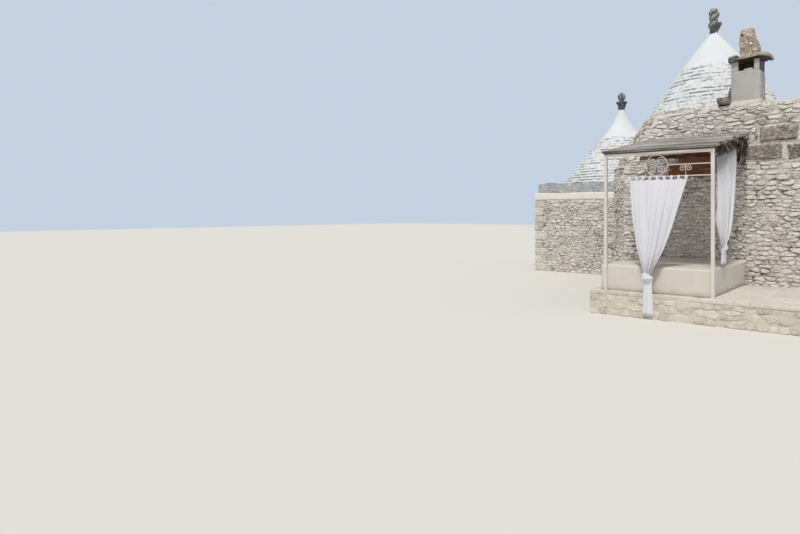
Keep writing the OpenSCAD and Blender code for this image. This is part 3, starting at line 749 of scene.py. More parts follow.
def limewashed_stone():
    """Thin courses under limewash; rim runs from 0 at a stone's head to 1 at its foot."""
    c = Coat("limewashed_stone")
    cloud, lump, grit = c.noise(3.2, 4), c.noise(15, 4, 0.65), c.noise(38, 6, 0.7)
    tint = c.layer("tone") * 0.4 + cloud * 0.6 + (lump - 0.5) * 0.7
    c.base(tint, "d3d5d8", "e4e6e8", "eff0f2")
    foot = (1 - (c.z - SMALL_WHITE_LOW[2]).steps(0.0, 0.6)) * (c.x < -1.6)
    line = c.noise(2.4, 4, 0.65, stretch=(1, 1, 3.4)) + foot * 0.07
    # Grey dashes along the feet of the course stones: grey joints, and painted shade
    under = (c.layer("rim") + (grit - 0.5) * 0.7).steps(0.45, 0.62) * line.steps(0.49, 0.55)
    c.dab("66696d", under * 0.85)
    c.dab("97989a", (c.noise(10, 6, 0.78) + foot * 0.03).steps(0.58, 0.68) * 0.5)
    return c.surface(0.85, cloud * 0.5 + lump * 0.9 + grit * 0.6, 0.012, 0.3)


def white_joint():
    """What shows between the whitewashed stones: lime with a little grey shade left in it."""
    c = Coat("white_joint")
    dab = (c.noise(5, 4, 0.6, stretch=(1, 1, 3)) + c.noise(28, 4, 0.6) * 0.4).steps(0.56, 0.74)
    c.color = c.mix("a9aaab", "e4e5e6", dab)
    far = (((c.x - SMALL_X) ** 2 + (c.y - SMALL_Y) ** 2) ** 0.5) - (
        SMALL_CONE_R - (c.z - SMALL_WHITE_LOW[2]) * SMALL_FALL)
    main = (c.main_shell() < -FACE_DEPTH) * (c.x > BETWEEN_X)
    small = (far < -FACE_DEPTH) * (c.x < BETWEEN_X)
    c.dab(c.ramp(c.noise(2, 4), "dedbd3", "eceae5"), main + small > 0.5)
    return c.surface(0.92, c.noise(40, 5, 0.7), 0.01, 0.2)


def bare_joint():
    """The skirt's own shell: earth and lime between its stones outside, limewash inside."""
    c = Coat("bare_joint")
    grit = c.noise(45, 6, 0.75)
    tint = c.noise(5, 5, 0.65) * 0.8 + grit * 0.5 - 0.15
    c.base(tint, "4f483f", "7d7468", "b5ada1", "cfc8bd")
    c.dab(c.ramp(c.noise(2, 4), "dedbd3", "eceae5"), c.main_shell() < -FACE_DEPTH)
    return c.surface(0.94, grit, 0.012, 0.2)


def plaster(name, colors, stain, stained=0.3, depth=0.006, foot=None):
    """Trowelled lime plaster with slow clouds, fine grain and stains, darker near its foot."""
    c = Coat(name)
    cloud, grain = c.noise(1.6, 5, 0.6), c.noise(60, 5, 0.7)
    trowel = c.noise(6, 3, 0.5, stretch=(1, 1, 0.45))
    c.base(cloud * 0.8 + trowel * 0.35 - 0.08, *colors)
    c.dab(stain, c.noise(4, 6, 0.7, stretch=(1, 1, 0.3)).steps(0.54, 0.74) * stained)
    if foot is not None:
        c.dab(stain, (1 - (c.z - foot + (c.noise(5, 4) - 0.5) * 0.14).steps(0.0, 0.13)) * 0.5)
    return c.surface(0.82, trowel * 1.2 + grain * 0.4, depth, 0.3)


def old_paint():
    c = Coat("old_paint")
    cloud = c.noise(3, 4)
    chip = c.noise(34, 6, 0.78).steps(0.66, 0.69)
    c.base(cloud, "cfc7c2", "dcd5d0", "e9e4df")
    c.dab(c.mix("6f4327", "9a8a78", c.noise(90, 3).steps(0.4, 0.6)), chip)
    c.dab("a58a70", c.noise(20, 4, 0.6, stretch=(1, 1, 0.12)).steps(0.6, 0.78) * 0.35)
    return c.surface(chip * 0.35 + cloud * 0.15 + 0.42, c.noise(45, 3) * 0.3 - chip, 0.0012)


def wood(name, colors, grain_way=(0.35, 6, 6), grey=0.0):
    """Boards: grain drawn out along x, each board with its own tone."""
    c = Coat(name)
    grain = c.noise(9, 6, 0.65, stretch=grain_way)
    fine = c.noise(30, 4, 0.7, stretch=grain_way)
    c.base(grain * 0.8 + c.layer("tone") * 0.35 + fine * 0.2 - 0.2, *colors)
    if grey:
        c.dab("9a8a72", c.noise(5, 4, 0.7, stretch=grain_way).steps(0.52, 0.7) * grey)
        c.dab("2e261e", c.noise(3.5, 5, 0.72, stretch=grain_way).steps(0.5, 0.64) * 0.6)
    return c.surface(0.7, grain + fine * 0.5, 0.003, 0.3)


def reed():
    c = Coat("weathered_reed")
    tone = c.layer("tone")
    streak = c.noise(7, 6, 0.75, stretch=(0.16, 2.6, 2.6))
    c.base(tone * 0.75 + streak * 1.3 - 0.52, "4d4a47", "85827f", "aba8a6", "d6d4d2")
    band = c.noise(2.4, 4, 0.7, stretch=(0.16, 3, 3))
    c.dab("e6e6e8", band.steps(0.54, 0.66) * 0.6)
    c.dab("3b3937", (1 - band).steps(0.54, 0.66) * 0.55)
    joint = abs((c.x * 4.2 + tone * 7).fract() - 0.5)
    c.dab("6b665f", (joint < 0.02) * 0.7)
    c.dab("4b4844", c.noise(4, 5, 0.7, stretch=(0.4, 1, 1)).steps(0.6, 0.75) * 0.5)
    return c.surface(0.85, streak, 0.005, 0.2)


def brushwood():
    c = Coat("brushwood")
    tint = c.layer("tone") + c.noise(14, 3) * 0.3 - 0.15
    c.base(tint, "14110e", "28231e", "40392f", "655d50", "b0a898")
    return c.surface(0.9, c.noise(80, 3), 0.002, 0.15)


def cotton():
    """Thin white cotton: a plain weave in the cloth's own width and length, in metres."""
    c = Coat("white_cotton")
    across, down, _ = c.node("UVMap", {"uv_map": "cloth"}).parts()
    threads = 2600.0
    weave = (across * threads).sine() * (down * threads).sine()
    place = c.node("CombineXYZ", {}, {0: across * 60.0, 1: down * 1.5})
    thread = c.node("TexNoise", {}, {"Vector": place, "Scale": 1.0, "Detail": 4.0})
    c.base(thread, "d3d3d9", "e0e0e5", "eaeaee")
    hem = (1 - down.steps(0.0, 0.03)) * 0.12
    c.dab("b3b1b2", hem + c.noise(3, 4).steps(0.58, 0.8) * 0.12)
    # Painted shadow of the roof on the side curtain: grey above a slanting line, deepest at its front top
    # corner
    painted_roof_shadow = (c.z - 2.42 - (c.y + 4.45) * 0.33 + (thread - 0.5) * 0.6).steps(-0.06, 0.1)
    c.dab("7b797d", painted_roof_shadow * (c.x > 1.0) * 0.78)
    return c.surface(0.9, weave * 0.3 + thread, 0.0012, 0.2, sheen=0.25)


def sooty_plaster():
    """Chimney plaster, with soot on what faces the flue, lime along its foot, and soot with painted shade
    high on its right flank.
    """
    c = Coat("grey_plaster")
    low, high = CHIMNEY_LOW, CHIMNEY_HIGH
    x, y = (low[0] + high[0]) / 2, (low[1] + high[1]) / 2
    cloud, grain = c.noise(2.5, 5, 0.6), c.noise(60, 5, 0.7)
    trowel = c.noise(7, 3, 0.5, stretch=(1, 1, 0.45))
    c.base(cloud * 0.8 + trowel * 0.5 - 0.15, "a3a09c", "b9b7b4", "c8c6c3")
    c.dab("837f79", c.noise(5, 6, 0.7, stretch=(1, 1, 0.3)).steps(0.56, 0.74) * 0.3)
    rough = (c.noise(9, 4) - 0.5) * 0.06
    c.dab("d5d1cb", 1 - (c.z + rough).steps(low[2] + 0.055, low[2] + 0.085))
    inside = (abs(c.x - x) + rough < 0.165) * (abs(c.y - y) + rough < 0.185) * (c.z > high[2] - 0.2)
    deep = (abs(c.x - x) < 0.15) * (abs(c.y - y) < 0.13)
    black = c.ramp(c.noise(11, 4, 0.6), "33201a", "5a3d33", "85685b")
    c.dab(black, inside + deep > 0.5)
    flank = c.x > x + 0.235
    speck = c.noise(24, 5, 0.75)
    c.dab("77745f", flank * speck.steps(0.5, 0.6) * 0.75)
    c.dab("dcd9d2", flank * (1 - speck).steps(0.52, 0.6) * 0.8)
    # Soot with painted shade: the right flank dark below the cap
    soot_and_shade = flank * (c.z + rough * 2 > high[2] - 0.19) * (speck + 0.25).steps(0.5, 0.7)
    c.dab("2f2520", soot_and_shade * 0.9)
    return c.surface(0.86, trowel + grain * 0.5, 0.008, 0.25)


def carved_stone(name, colors, light):
    """Carved pinnacle stone: tone is 0 in a groove and 1 on a ridge, where pale lichen sits."""
    c = Coat(name)
    tone = c.layer("tone")
    cloud, grit = c.noise(11, 5, 0.7), c.noise(60, 6, 0.7)
    c.base(tone * 0.5 + cloud * 0.7 + grit * 0.2 - 0.2, *colors)
    pale = (tone * 0.55 + c.noise(16, 5, 0.7) * 0.75 + grit * 0.15).steps(0.78, 0.95)
    c.dab(light, pale * 0.75)
    c.dab("3a3b3a", c.noise(22, 5, 0.7).steps(0.56, 0.7) * 0.6)
    c.dab("7d4a3c", (c.layer("rim") + (grit - 0.5) * 0.5).steps(0.4, 0.8) * 0.7)
    return c.surface(0.93, cloud * 1.2 + grit * 0.6, 0.012, 0.2)


def rough_stone():
    """The stone on the chimney: lichen on its right, rim marks a pale scar, tone a hole painted dark as
    shade.
    """
    c = Coat("rough_cap_stone")
    middle = (STONE_LOW + STONE_HIGH) / 2
    cloud, lump, grit = c.noise(5, 4), c.noise(15, 5, 0.7), c.noise(48, 6, 0.72)
    tint = cloud * 0.5 + lump * 0.9 + grit * 0.4 - 0.42
    c.base(tint, "8d7668", "b49f91", "cebdb1", "e5dad0")
    drift = (c.x - middle[0]) * 0.9 - (c.z - middle[2]) * 0.35
    c.dab("9f9873", (c.noise(13, 5, 0.72) + drift).steps(0.48, 0.6) * 0.62)
    c.dab("594a40", c.noise(24, 5, 0.75, stretch=(1, 1, 1.6)).steps(0.52, 0.6) * 0.8)
    c.dab("ece6dc", c.noise(17, 5, 0.75).steps(0.52, 0.6) * 0.7)
    edge = c.layer("rim") + (lump - 0.5) * 1.2 + (grit - 0.5) * 0.3
    c.dab("4a3f36", edge.steps(0.1, 0.24) * 0.75)
    c.dab("f2ece3", (edge - (grit - 0.5) * 0.3).steps(0.38, 0.5) * 0.95)
    # Painted shade in the hole
    c.dab("1f1916", c.layer("tone").steps(0.3, 0.7))
    return c.surface(0.92, cloud * 0.5 + lump * 1.2 + grit * 0.6, 0.022, 0.2)


def ground():
    c = Coat("studio_floor")
    c.color = (*bpy.context.scene.trullo_stage.floor, 1)
    return c.surface(0.9, gloss=0.1)


# Each finish: its maker, then the maker's own words
FINISHES = {
    "limestone": (stone_coat, dict(
        name="rubble_limestone", colors=("9e958c", "c2bab1", "dbd4cb", "eae3dc", "f6f2ed"),
        joint="e3dcd4", wash=0.5, lichen=0.3, flecks=1.0, shade=0.92, painted_sunlight=1.0)),
    "pale_limestone": (stone_coat, dict(
        name="pale_limestone", colors=("a0988f", "c2bab0", "d6cfc6", "e5dfd8"), joint="dfd9d0",
        lichen=0.4, wash=0.5)),
    "podium_limestone": (stone_coat, dict(
        name="podium_limestone", colors=("bdb3a3", "d2c9ba", "dfd7c9", "e8e1d4"), joint="e0d8ca",
        lichen=0.2, pits=0.3, wash=0.95, flecks=0.25, shade=0.3)),
    "cone_limestone": (stone_coat, dict(
        name="cone_limestone", colors=("968d84", "b7aea5", "cec6bd", "dfd8d0"), joint="d8d1c8",
        smear=0.7, wash=0.35)),
    "dressed_limestone": (stone_coat, dict(
        name="dressed_limestone", colors=("4a443e", "6f675f", "8c837b", "a9a098"), joint="cfc8be",
        smear=0.15, lichen=0.45, pits=0.8, flecks=0.42)),
    "pointing": (stone_coat, dict(
        name="lime_pointing", colors=("b9b2a9", "d3cdc5", "e4dfd9"), joint="eae6e0", lichen=0.2,
        pits=0.35, wash=0.4, flecks=0.6)),
    "grey_limestone": (stone_coat, dict(
        name="grey_limestone", colors=("2d2a28", "4a4744", "6d6966"), joint="8b8783", smear=0.15,
        lichen=0.5, orange=0.1, flecks=0.35)),
    "cap_limestone": (stone_coat, dict(
        name="cap_limestone", colors=("3e3b38", "65605c", "93887f", "c2b8ae"), joint="c9b7aa",
        smear=0.3, lichen=0.35, orange=0.3, flecks=0.35, spots="7d5243")),
    "flagstone": (stone_coat, dict(
        name="pale_flagstone", colors=("c8bfb0", "dad2c6", "e6dfd4"), joint="e4ddd1", smear=0.4,
        lichen=0.1, pits=0.2, wash=0.6, flecks=0.15, shade=0.25)),
    "pinnacle_stone": (carved_stone, dict(
        name="pinnacle_stone", colors=("3f4341", "656a68", "878b89"), light="b3b9b3")),
    "small_pinnacle_stone": (carved_stone, dict(
        name="small_pinnacle_stone", colors=("3b4148", "59616a", "7b838b"), light="a2a9ae")),
    "podium_lime": (plaster, dict(
        name="podium_lime", colors=("c4baab", "d5ccbe", "e1d9cd"), stain="9c9180", depth=0.012)),
    "white_plaster": (plaster, dict(
        name="white_plaster", colors=("d9dce0", "e3e6ea", "ebedf0"), stain="b9bab9",
        stained=0.18, depth=0.007)),
    "coping_plaster": (plaster, dict(
        name="coping_plaster", colors=("dddcda", "e9e8e6", "f2f1f0"), stain="b3afa8",
        stained=0.35, depth=0.009)),
    "cream_plaster": (plaster, dict(
        name="cream_plaster", colors=("cbc4ba", "d8d2c8", "e1dcd4"), stain="a79d8e",
        stained=0.22, depth=0.004, foot=BENCH_LOW[2])),
    "red_wood": (wood, dict(name="red_brown_wood", colors=("3d1c12", "5d2c1b", "7c402a"))),
    "old_red_wood": (wood, dict(
        name="old_red_wood", colors=("35241a", "6f452e", "97603e", "b88f68"),
        grain_way=(1.2, 5, 7), grey=0.45)),
    "ledge_limestone": (ledge_stone, {}),
    "rough_stone": (rough_stone, {}),
    "mortar": (lime_mortar, {}),
    "limewashed": (limewashed_stone, {}),
    "white_joint": (white_joint, {}),
    "bare_joint": (bare_joint, {}),
    "grey_plaster": (sooty_plaster, {}),
    "paint": (old_paint, {}),
    "reed": (reed, {}),
    "brushwood": (brushwood, {}),
    "cotton": (cotton, {}),
    "ground": (ground, {}),
}
MADE = {}


def finish(name):
    """The material of that name, made the first time that it is asked for."""
    if name not in MADE:
        maker, words = FINISHES[name]
        MADE[name] = maker(**words)
    return MADE[name]


# Settings that a user would change


class StoneSettings(bpy.types.PropertyGroup):
    length: bpy.props.FloatProperty(
        name="Stone Length", description="Mean length of a wall stone", default=0.172,
        min=0.12, max=0.5, unit="LENGTH")
    height: bpy.props.FloatProperty(
        name="Course Height", description="Mean height of a wall course", default=0.07,
        min=0.07, max=0.25, unit="LENGTH")
    joint: bpy.props.FloatProperty(
        name="Joint", description="Width of the joints in the walls", default=0.005,
        min=0.002, max=0.03, unit="LENGTH")
    seed: bpy.props.IntProperty(
        name="Layout", description="Number that picks the layout of the stones", default=7)


class StageSettings(bpy.types.PropertyGroup):
    floor: bpy.props.FloatVectorProperty(
        name="Floor", description="Colour of the floor", subtype="COLOR", size=3,
        default=(0.74, 0.72, 0.68), min=0, max=1)
    backdrop: bpy.props.FloatVectorProperty(
        name="Backdrop", description="Colour behind the house", subtype="COLOR", size=3,
        default=(0.56, 0.64, 0.76), min=0, max=1)
    sun: bpy.props.FloatProperty(
        name="Sun", description="Strength of the sun lamp", default=2.1, min=0)
    fill: bpy.props.FloatProperty(
        name="Fill", description="Strength of the light from all sides", default=0.5, min=0)


class TRULLO_OT_podium(bpy.types.Operator):
    """Lay rubble faces, edge stones and flagstones round the podium, and plaster the bench"""

    bl_idname = "trullo.podium"
    bl_label = "Podium and Bench"

    def execute(self, context):
        size = context.scene.trullo_stones
        rng = np.random.default_rng(size.seed + 1)
        low, high = PODIUM_LOW, PODIUM_HIGH
        wide, long, _ = high - low
        faces = ((low[:2], (1, 0), wide), ((low[0], high[1]), (0, -1), long),
                 ((high[0], low[1]), (0, 1), long))
        words = dict(gap=size.joint, proud=(0.002, 0.01), lean=0.05)
        parts = [facing(rng, (size.length * 1.3, 0.115), *face, 0, high[2] - 0.065, **words)
                 for face in faces]
        piece("podium_rubble", parts, "podium_limestone")
        mid, half = halfway(row_ends(rng, wide, 0.3, 0.45, 0.8, 12) + low[0], 0.002)
        deep, z = 0.19, high[2] - 0.024
        joint_x, joints_y = 1.74, (-3.86, -3.31, -2.78)
        slabs = [blocks(rng, table(mid, low[1] + deep - 0.008, z), table(half, deep, 0.036),
                        0.018, 0.009, steps=6)]
        rows = np.array([low[1] + 2 * deep, *joints_y, high[1]])
        for y, hy in zip(*halfway(rows, 0.004)):
            for x0, x1 in ((low[0] - 0.01, BENCH_LOW[0] + 0.02), (BENCH_HIGH[0] - 0.02, joint_x),
                           (joint_x, high[0] + 0.004)):
                slabs.append(blocks(rng, [(x0 + x1) / 2, y, z - 0.004],
                                    [(x1 - x0) / 2 - 0.004, hy, 0.034], 0.012, 0.004, steps=4))
        piece("podium_flagstones", slabs, "flagstone")
        low, high = BENCH_LOW, BENCH_HIGH
        bench = blocks(rng, (low + high) / 2 + (0, 0, 0.002), (high - low) / 2 + (0, 0, 0.001),
                       0.035, 0.005, rough=4.0, steps=24)
        piece("bench_plaster", bench, "cream_plaster", ["plaster_bench"])
        return {"FINISHED"}


class TRULLO_OT_walls(bpy.types.Operator):
    """Face the walls of both houses with coursed rubble, corner stones and door surrounds"""

    bl_idname = "trullo.walls"
    bl_label = "Walls"

    # Left, foot, right and top of the dressed blocks over the canopy
    DRESSED = ((1.3, 3.13, 1.9, 3.405), (1.02, 2.785, 1.665, 3.06), (1.73, 2.75, 2.2, 3.04),
               (2.0, 2.56, 2.36, 2.76))

    def execute(self, context):
        size = context.scene.trullo_stones
        rng = np.random.default_rng(size.seed)
        cut = (size.length, size.height)
        words = dict(gap=size.joint)
        plain = dict(words, rings=(0.7, 1.0), rise=(0.95, -0.3))
        self.main_house(rng, cut, words, plain)
        self.drum(rng, cut, words)
        self.caps(rng)
        self.small_house(rng, (size.length * 0.9, size.height), words, plain)
        self.doors(rng)
        return {"FINISHED"}

    def main_house(self, rng, cut, words, plain):
        """Corner stones, dark dressed blocks, then rubble round them on each flat wall."""
        left, right, front, back = LEFT_X, RIGHT_X, FRONT_Y, DRUM_R
        stacks = [quoins(rng, *corner) for corner in (
            ((right, front), (-1, 1), PODIUM_HIGH[2], PARAPET_HIGH[2] - 0.03),
            ((right, back), (-1, -1), 0, WALL_TOP),
            ((right, -DOOR_Y), (-1, -1), SILL_TOP, LINTEL_LOW[2], (0.02, 0.004)),
            ((right, DOOR_Y), (-1, 1), SILL_TOP, LINTEL_LOW[2], (0.02, 0.004)))]
        x0, z0, x1, z1 = np.array(self.DRESSED).T
        count = len(x0)
        middles = table((x0 + x1) / 2, front + 0.02, (z0 + z1) / 2)
        halves = table((x1 - x0) / 2, 0.05, (z1 - z0) / 2)
        lean = tilted(rng.uniform(-0.03, 0.03, count), "y", count)
        faces = blocks(rng, middles, halves, 0.034, 0.02, rough=8, turns=lean, steps=12)
        piece("dressed_blocks", faces, "dressed_limestone")
        bed = blocks(rng, middles + (0, 0.026, 0), halves + (0.05, 0, 0.036), 0.03, 0.012,
                     rough=12, turns=lean, steps=12)
        piece("block_pointing", bed, "pointing")
        wider = halves + (0.045, 0.02, 0.03)
        boxes = [box for _, found in stacks for box in found]
        boxes += list(zip(middles - wider, middles + wider))
        piece("main_corner_stones", [s for s, _ in stacks], "pale_limestone")
        line = [(left, WALL_TOP), SHOULDER, RISE_END, (right, PARAPET_HIGH[2])]
        slope = [((b[0] - left, b[1]), (a[0] - left, a[1])) for a, b in zip(line, line[1:])][::-1]
        front_face = facing(rng, cut, (left, front), (1, 0), right - left, 0, PARAPET_HIGH[2],
                            boxes, edges=slope, **words)
        piece("front_rubble", front_face, "limestone")
        depth, stub = PARAPET_HIGH[1], 0.49
        other = [((right - left, WALL_TOP), (right - SHOULDER[0], SHOULDER[1])),
                 ((right - SHOULDER[0], SHOULDER[1]), (right - RISE_END[0], RISE_END[1]))]
        door = (-DOOR_Y - front, -0.02, DOOR_Y - front, WALL_TOP + 0.01)
        parts = [facing(rng, cut, *face, boxes, **plain, **more) for *face, more in (
            ((right, depth), (-1, 0), right - left, WALL_TOP + 0.05, PARAPET_HIGH[2],
             {"edges": other}),
            ((right, front), (0, 1), depth - front, WALL_TOP, PARAPET_HIGH[2], {}),
            ((right, front), (0, 1), back - front, 0, WALL_TOP, {"openings": [door]}),
            ((left, front + stub), (0, -1), stub, 0, WALL_TOP, {}),
            ((right, back), (-1, 0), right, 0, WALL_TOP, {}),
        )]
        piece("side_and_back_rubble", parts, "limestone")

    def drum(self, rng, cut, words):
        """Rubble round the left and the back, from the back wall to the left stub."""
        start, end = math.pi / 2, math.radians(234.4)
        seeds = coursed_seeds(rng, DRUM_R * (end - start), 0, WALL_TOP, cut)
        seeds[:, 0] = start + seeds[:, 0] / DRUM_R
        drum = stones(rng, seeds, revolved(lambda v: DRUM_R), (start, 0, end, WALL_TOP),
                      girth=lambda v: DRUM_R + 0 * v, **words)
        piece("round_rubble", drum, "limestone")

    def caps(self, rng):
        """Rough flat stones along the top of the parapet and down its leaning left end."""
        line = np.array([(LEFT_X + 0.03, WALL_TOP + 0.04), SHOULDER, RISE_END,
                         (RIGHT_X, PARAPET_HIGH[2])])
        run = run_along(line)
        rows, pitch, made = 3, 0.205, []
        for row in range(rows):
            mid, half = halfway(row_ends(rng, run[-1], 0.1, 0.1, 0.34, 60), 0.004)
            x, z = np.interp(mid, run, line[:, 0]), np.interp(mid, run, line[:, 1])
            part = np.clip(np.searchsorted(run, mid) - 1, 0, len(line) - 2)
            rise = np.arctan2(*(np.diff(line, axis=0)[part].T[::-1]))
            count = len(mid)
            thick = rng.uniform(0.03, 0.05, count)
            y = FRONT_Y + 0.092 + pitch * row + rng.uniform(-0.014, 0.012, count)
            sink = thick * rng.uniform(0.45, 0.95, count)
            middles = table(x + np.sin(rise) * sink, y, z - np.cos(rise) * sink)
            halves = table(half, rng.uniform(0.085, 0.11, count), thick)
            turns = tilted(-(rise + rng.uniform(-0.08, 0.08, count)), "y", count)
            made.append(blocks(rng, middles, halves, 0.022, 0.016, turns=turns, steps=3))
        piece("parapet_capstones", made, "limestone")

    def small_house(self, rng, cut, words, plain):
        """The same for the small house, whose front runs up to the main one's round wall."""
        half, x, y = SMALL_HALF, SMALL_X, SMALL_Y
        top, (right, back, _) = SMALL_LOW[2], span("small_front_wall")[1]
        gate = (SMALL_SILL_LOW[1], SMALL_SILL_HIGH[1])
        door_side = (SMALL_SILL_HIGH[2], SMALL_LINTEL_LOW[2], (0.016, 0.004))
        boxes = stacked(rng, "small_corner_stones", (
            ((x - half, y - half), (1, 1), 0, top, (0.014, 0.014)),
            ((x - half, y + half), (1, -1), 0, top, (0.014, 0.014)),
            ((x + half, y + half), (-1, -1), 0, top, (0.014, 0.014)),
            ((x + half, gate[0]), (-1, -1), *door_side),
            ((x + half, gate[1]), (-1, 1), *door_side)))
        near, far = x - half, -1.3
        opening = (gate[0] - y + half, -0.02, gate[1] - y + half, top + 0.01)
        faces = [
            facing(rng, cut, (near, y - half), (1, 0), far - near, 0, top, boxes, **words),
            facing(rng, cut, (near, y + half), (0, -1), 2 * half, 0, top, boxes, **plain),
        ]
        piece("small_front_rubble", faces, "limestone")
        faces = [facing(rng, cut, *face, **plain) for face in (
            ((x + half, y + half), (-1, 0), 2 * half, 0, top, boxes),
            ((x + half, y - half), (0, 1), 2 * half, 0, top, boxes, [opening]),
            ((right, back), (-1, 0), right - SMALL_RIGHT, 0, top),
        )]
        piece("small_back_rubble", faces, "limestone")

    def doors(self, rng):
        """A long lintel stone and a worn sill slab at each doorway."""
        made, treads = [], []
        for low, high, foot, out in (
            (LINTEL_LOW, LINTEL_HIGH, SILL_TOP, 0.02),
            (SMALL_LINTEL_LOW, SMALL_LINTEL_HIGH, SMALL_SILL_HIGH[2], 0.014),
        ):
            y, wide = (low[1] + high[1]) / 2, (high[1] - low[1]) / 2
            tall = min(QUOIN_TALL, high[2] - low[2])
            made.append(blocks(
                rng, [high[0] - 0.14 + out, y, low[2] + tall / 2 + 0.001],
                [0.14, wide + 0.14, tall / 2], 0.02, 0.008, steps=6))
            treads.append(blocks(
                rng, [high[0] - 0.16 + out + 0.008, y, foot - 0.028], [0.16, wide + 0.05, 0.04],
                0.016, 0.006, steps=5))
        piece("lintel_stones", made, "dressed_limestone")
        piece("sill_stones", treads, "flagstone")


class TRULLO_OT_cones(bpy.types.Operator):
    """Lay the bare and the whitewashed courses of both cones and their plaster tips"""

    bl_idname = "trullo.cones"
    bl_label = "Cones"

    def ring_courses(self, rng, x, y, foot, top, count, radius):
        """Stones on each course between foot and top; each course leans out to its ledge."""
        edges, ledge, long = np.linspace(foot, top, count + 1), 0.018, 0.22
        low_r, high_r = radius(edges[:-1]), radius(edges[1:]) + ledge
        tall = (top - foot) / count
        tilt = np.arctan2(low_r - high_r, tall)
        words = dict(gap=0.001, proud=(0.003, 0.013), stretch=1.0, cap=0.6, rings=(0.7, 0.93, 1.0),
                     rise=(1.0, 0.95, 0.3), lean=0.04, bend=0.006)
        found = []
        for k in range(count):
            mean = (low_r[k] + high_r[k]) / 2
            n = max(7, round(2 * math.pi * mean / (long * rng.uniform(0.8, 1.2))))
            u = (np.arange(n) + rng.uniform(0, 1) + rng.uniform(-0.36, 0.36, n)) * 2 * math.pi / n
            v = np.full(n, (edges[k] + edges[k + 1]) / 2) + rng.uniform(-0.12, 0.12, n) * tall

            def on_course(u, v, h, k=k):
                held = np.clip(v, edges[k] + 1e-6, edges[k + 1] - 1e-6)
                share = (held - edges[k]) / tall
                r = low_r[k] + (high_r[k] - low_r[k]) * share + h * np.cos(tilt[k])
                return table(x + r * np.cos(u), y + r * np.sin(u), v + h * np.sin(tilt[k]))

            band = (None, edges[k] - 0.004, None, edges[k + 1] + 0.004)
            laid = stones(rng, table(u % (2 * math.pi), v), on_course, band,
                          girth=lambda v, m=mean: m + 0 * v, **words)
            laid.values["rim"] = np.clip((edges[k + 1] - laid.points[:, 2]) / tall, 0, 1)
            found.append(laid)
        return found

    def execute(self, context):
        rng = np.random.default_rng(context.scene.trullo_stones.seed + 2)
        rise = SKIRT_TOP - WALL_TOP
        seeds = coursed_seeds(rng, 2 * math.pi, 0, rise, (0.1, 0.1), split=0.14)
        keep = np.clip(main_radius(WALL_TOP + seeds[:, 1]) / DRUM_R, 0.5, 1)
        seeds = seeds[rng.random(len(seeds)) < keep]
        skirt = revolved(lambda v: main_radius(WALL_TOP + v) + 0.008, WALL_TOP,
                         math.atan2(DRUM_R - main_radius(SKIRT_TOP), rise))
        bare = stones(rng, seeds, skirt, (None, 0, None, rise), proud=(0.012, 0.036),
                      girth=lambda v: main_radius(WALL_TOP + v))
        piece("bare_cone_stones", bare, "cone_limestone")
        for name, *course in (
            ("white_cone_stones", 0, 0, SKIRT_TOP, WHITE_TOP, WHITE_COURSES, main_radius),
            ("small_white_stones", SMALL_X, SMALL_Y, SMALL_WHITE_LOW[2], SMALL_WHITE_HIGH[2],
             SMALL_COURSES, small_radius),
        ):
            piece(name, self.ring_courses(rng, *course), "limewashed")
        main_neck, neck = 0.07, 0.086
        self.tip("main_tip", (0, 0), WHITE_TOP, TIP_TOP + 0.036,
                 lambda z: np.maximum(main_radius(z), main_neck), "cone_plaster_tip", 0.07)
        low, high = SMALL_TIP_LOW[2], SMALL_TIP_HIGH[2]
        wide = small_radius(SMALL_WHITE_HIGH[2]) - neck
        self.tip("small_tip", (SMALL_X, SMALL_Y), low, high,
                 lambda z: neck + wide * np.clip(1 - (z - low) / (high - low), 0, 1.2) ** 1.45,
                 "small_plaster_tip", 0.05)
        return {"FINISHED"}

    def tip(self, name, centre, foot, top, radius, node, lap):
        """Plaster tip: its outline carried round the axis, with a thick lower edge that waves.

        The edge hangs up to lap below foot, and its lowest ring is tucked in under the plaster.
        """
        coat = 0.012
        a = circle(128)
        t = np.linspace(0, 1, 50)[:, None]
        drip = lap * (0.5 + 0.55 * ripple(table(np.cos(a), np.sin(a), 0), 4.5, 5, 4))
        z = foot + t * (top - foot) - (1 - t) ** 10 * drip
        edge = coat * (1 - t) ** 16
        r = radius(z) + coat + edge + 0.006 * ripple(table(np.cos(a), np.sin(a), z), 5.0, 9)
        r[0] -= 0.035
        body = table(centre[0] + r * np.cos(a), centre[1] + r * np.sin(a), z)
        shape = capped(body, [(*centre, foot), (*centre, top + 0.004)])
        piece(name, shape, "white_plaster", [node])


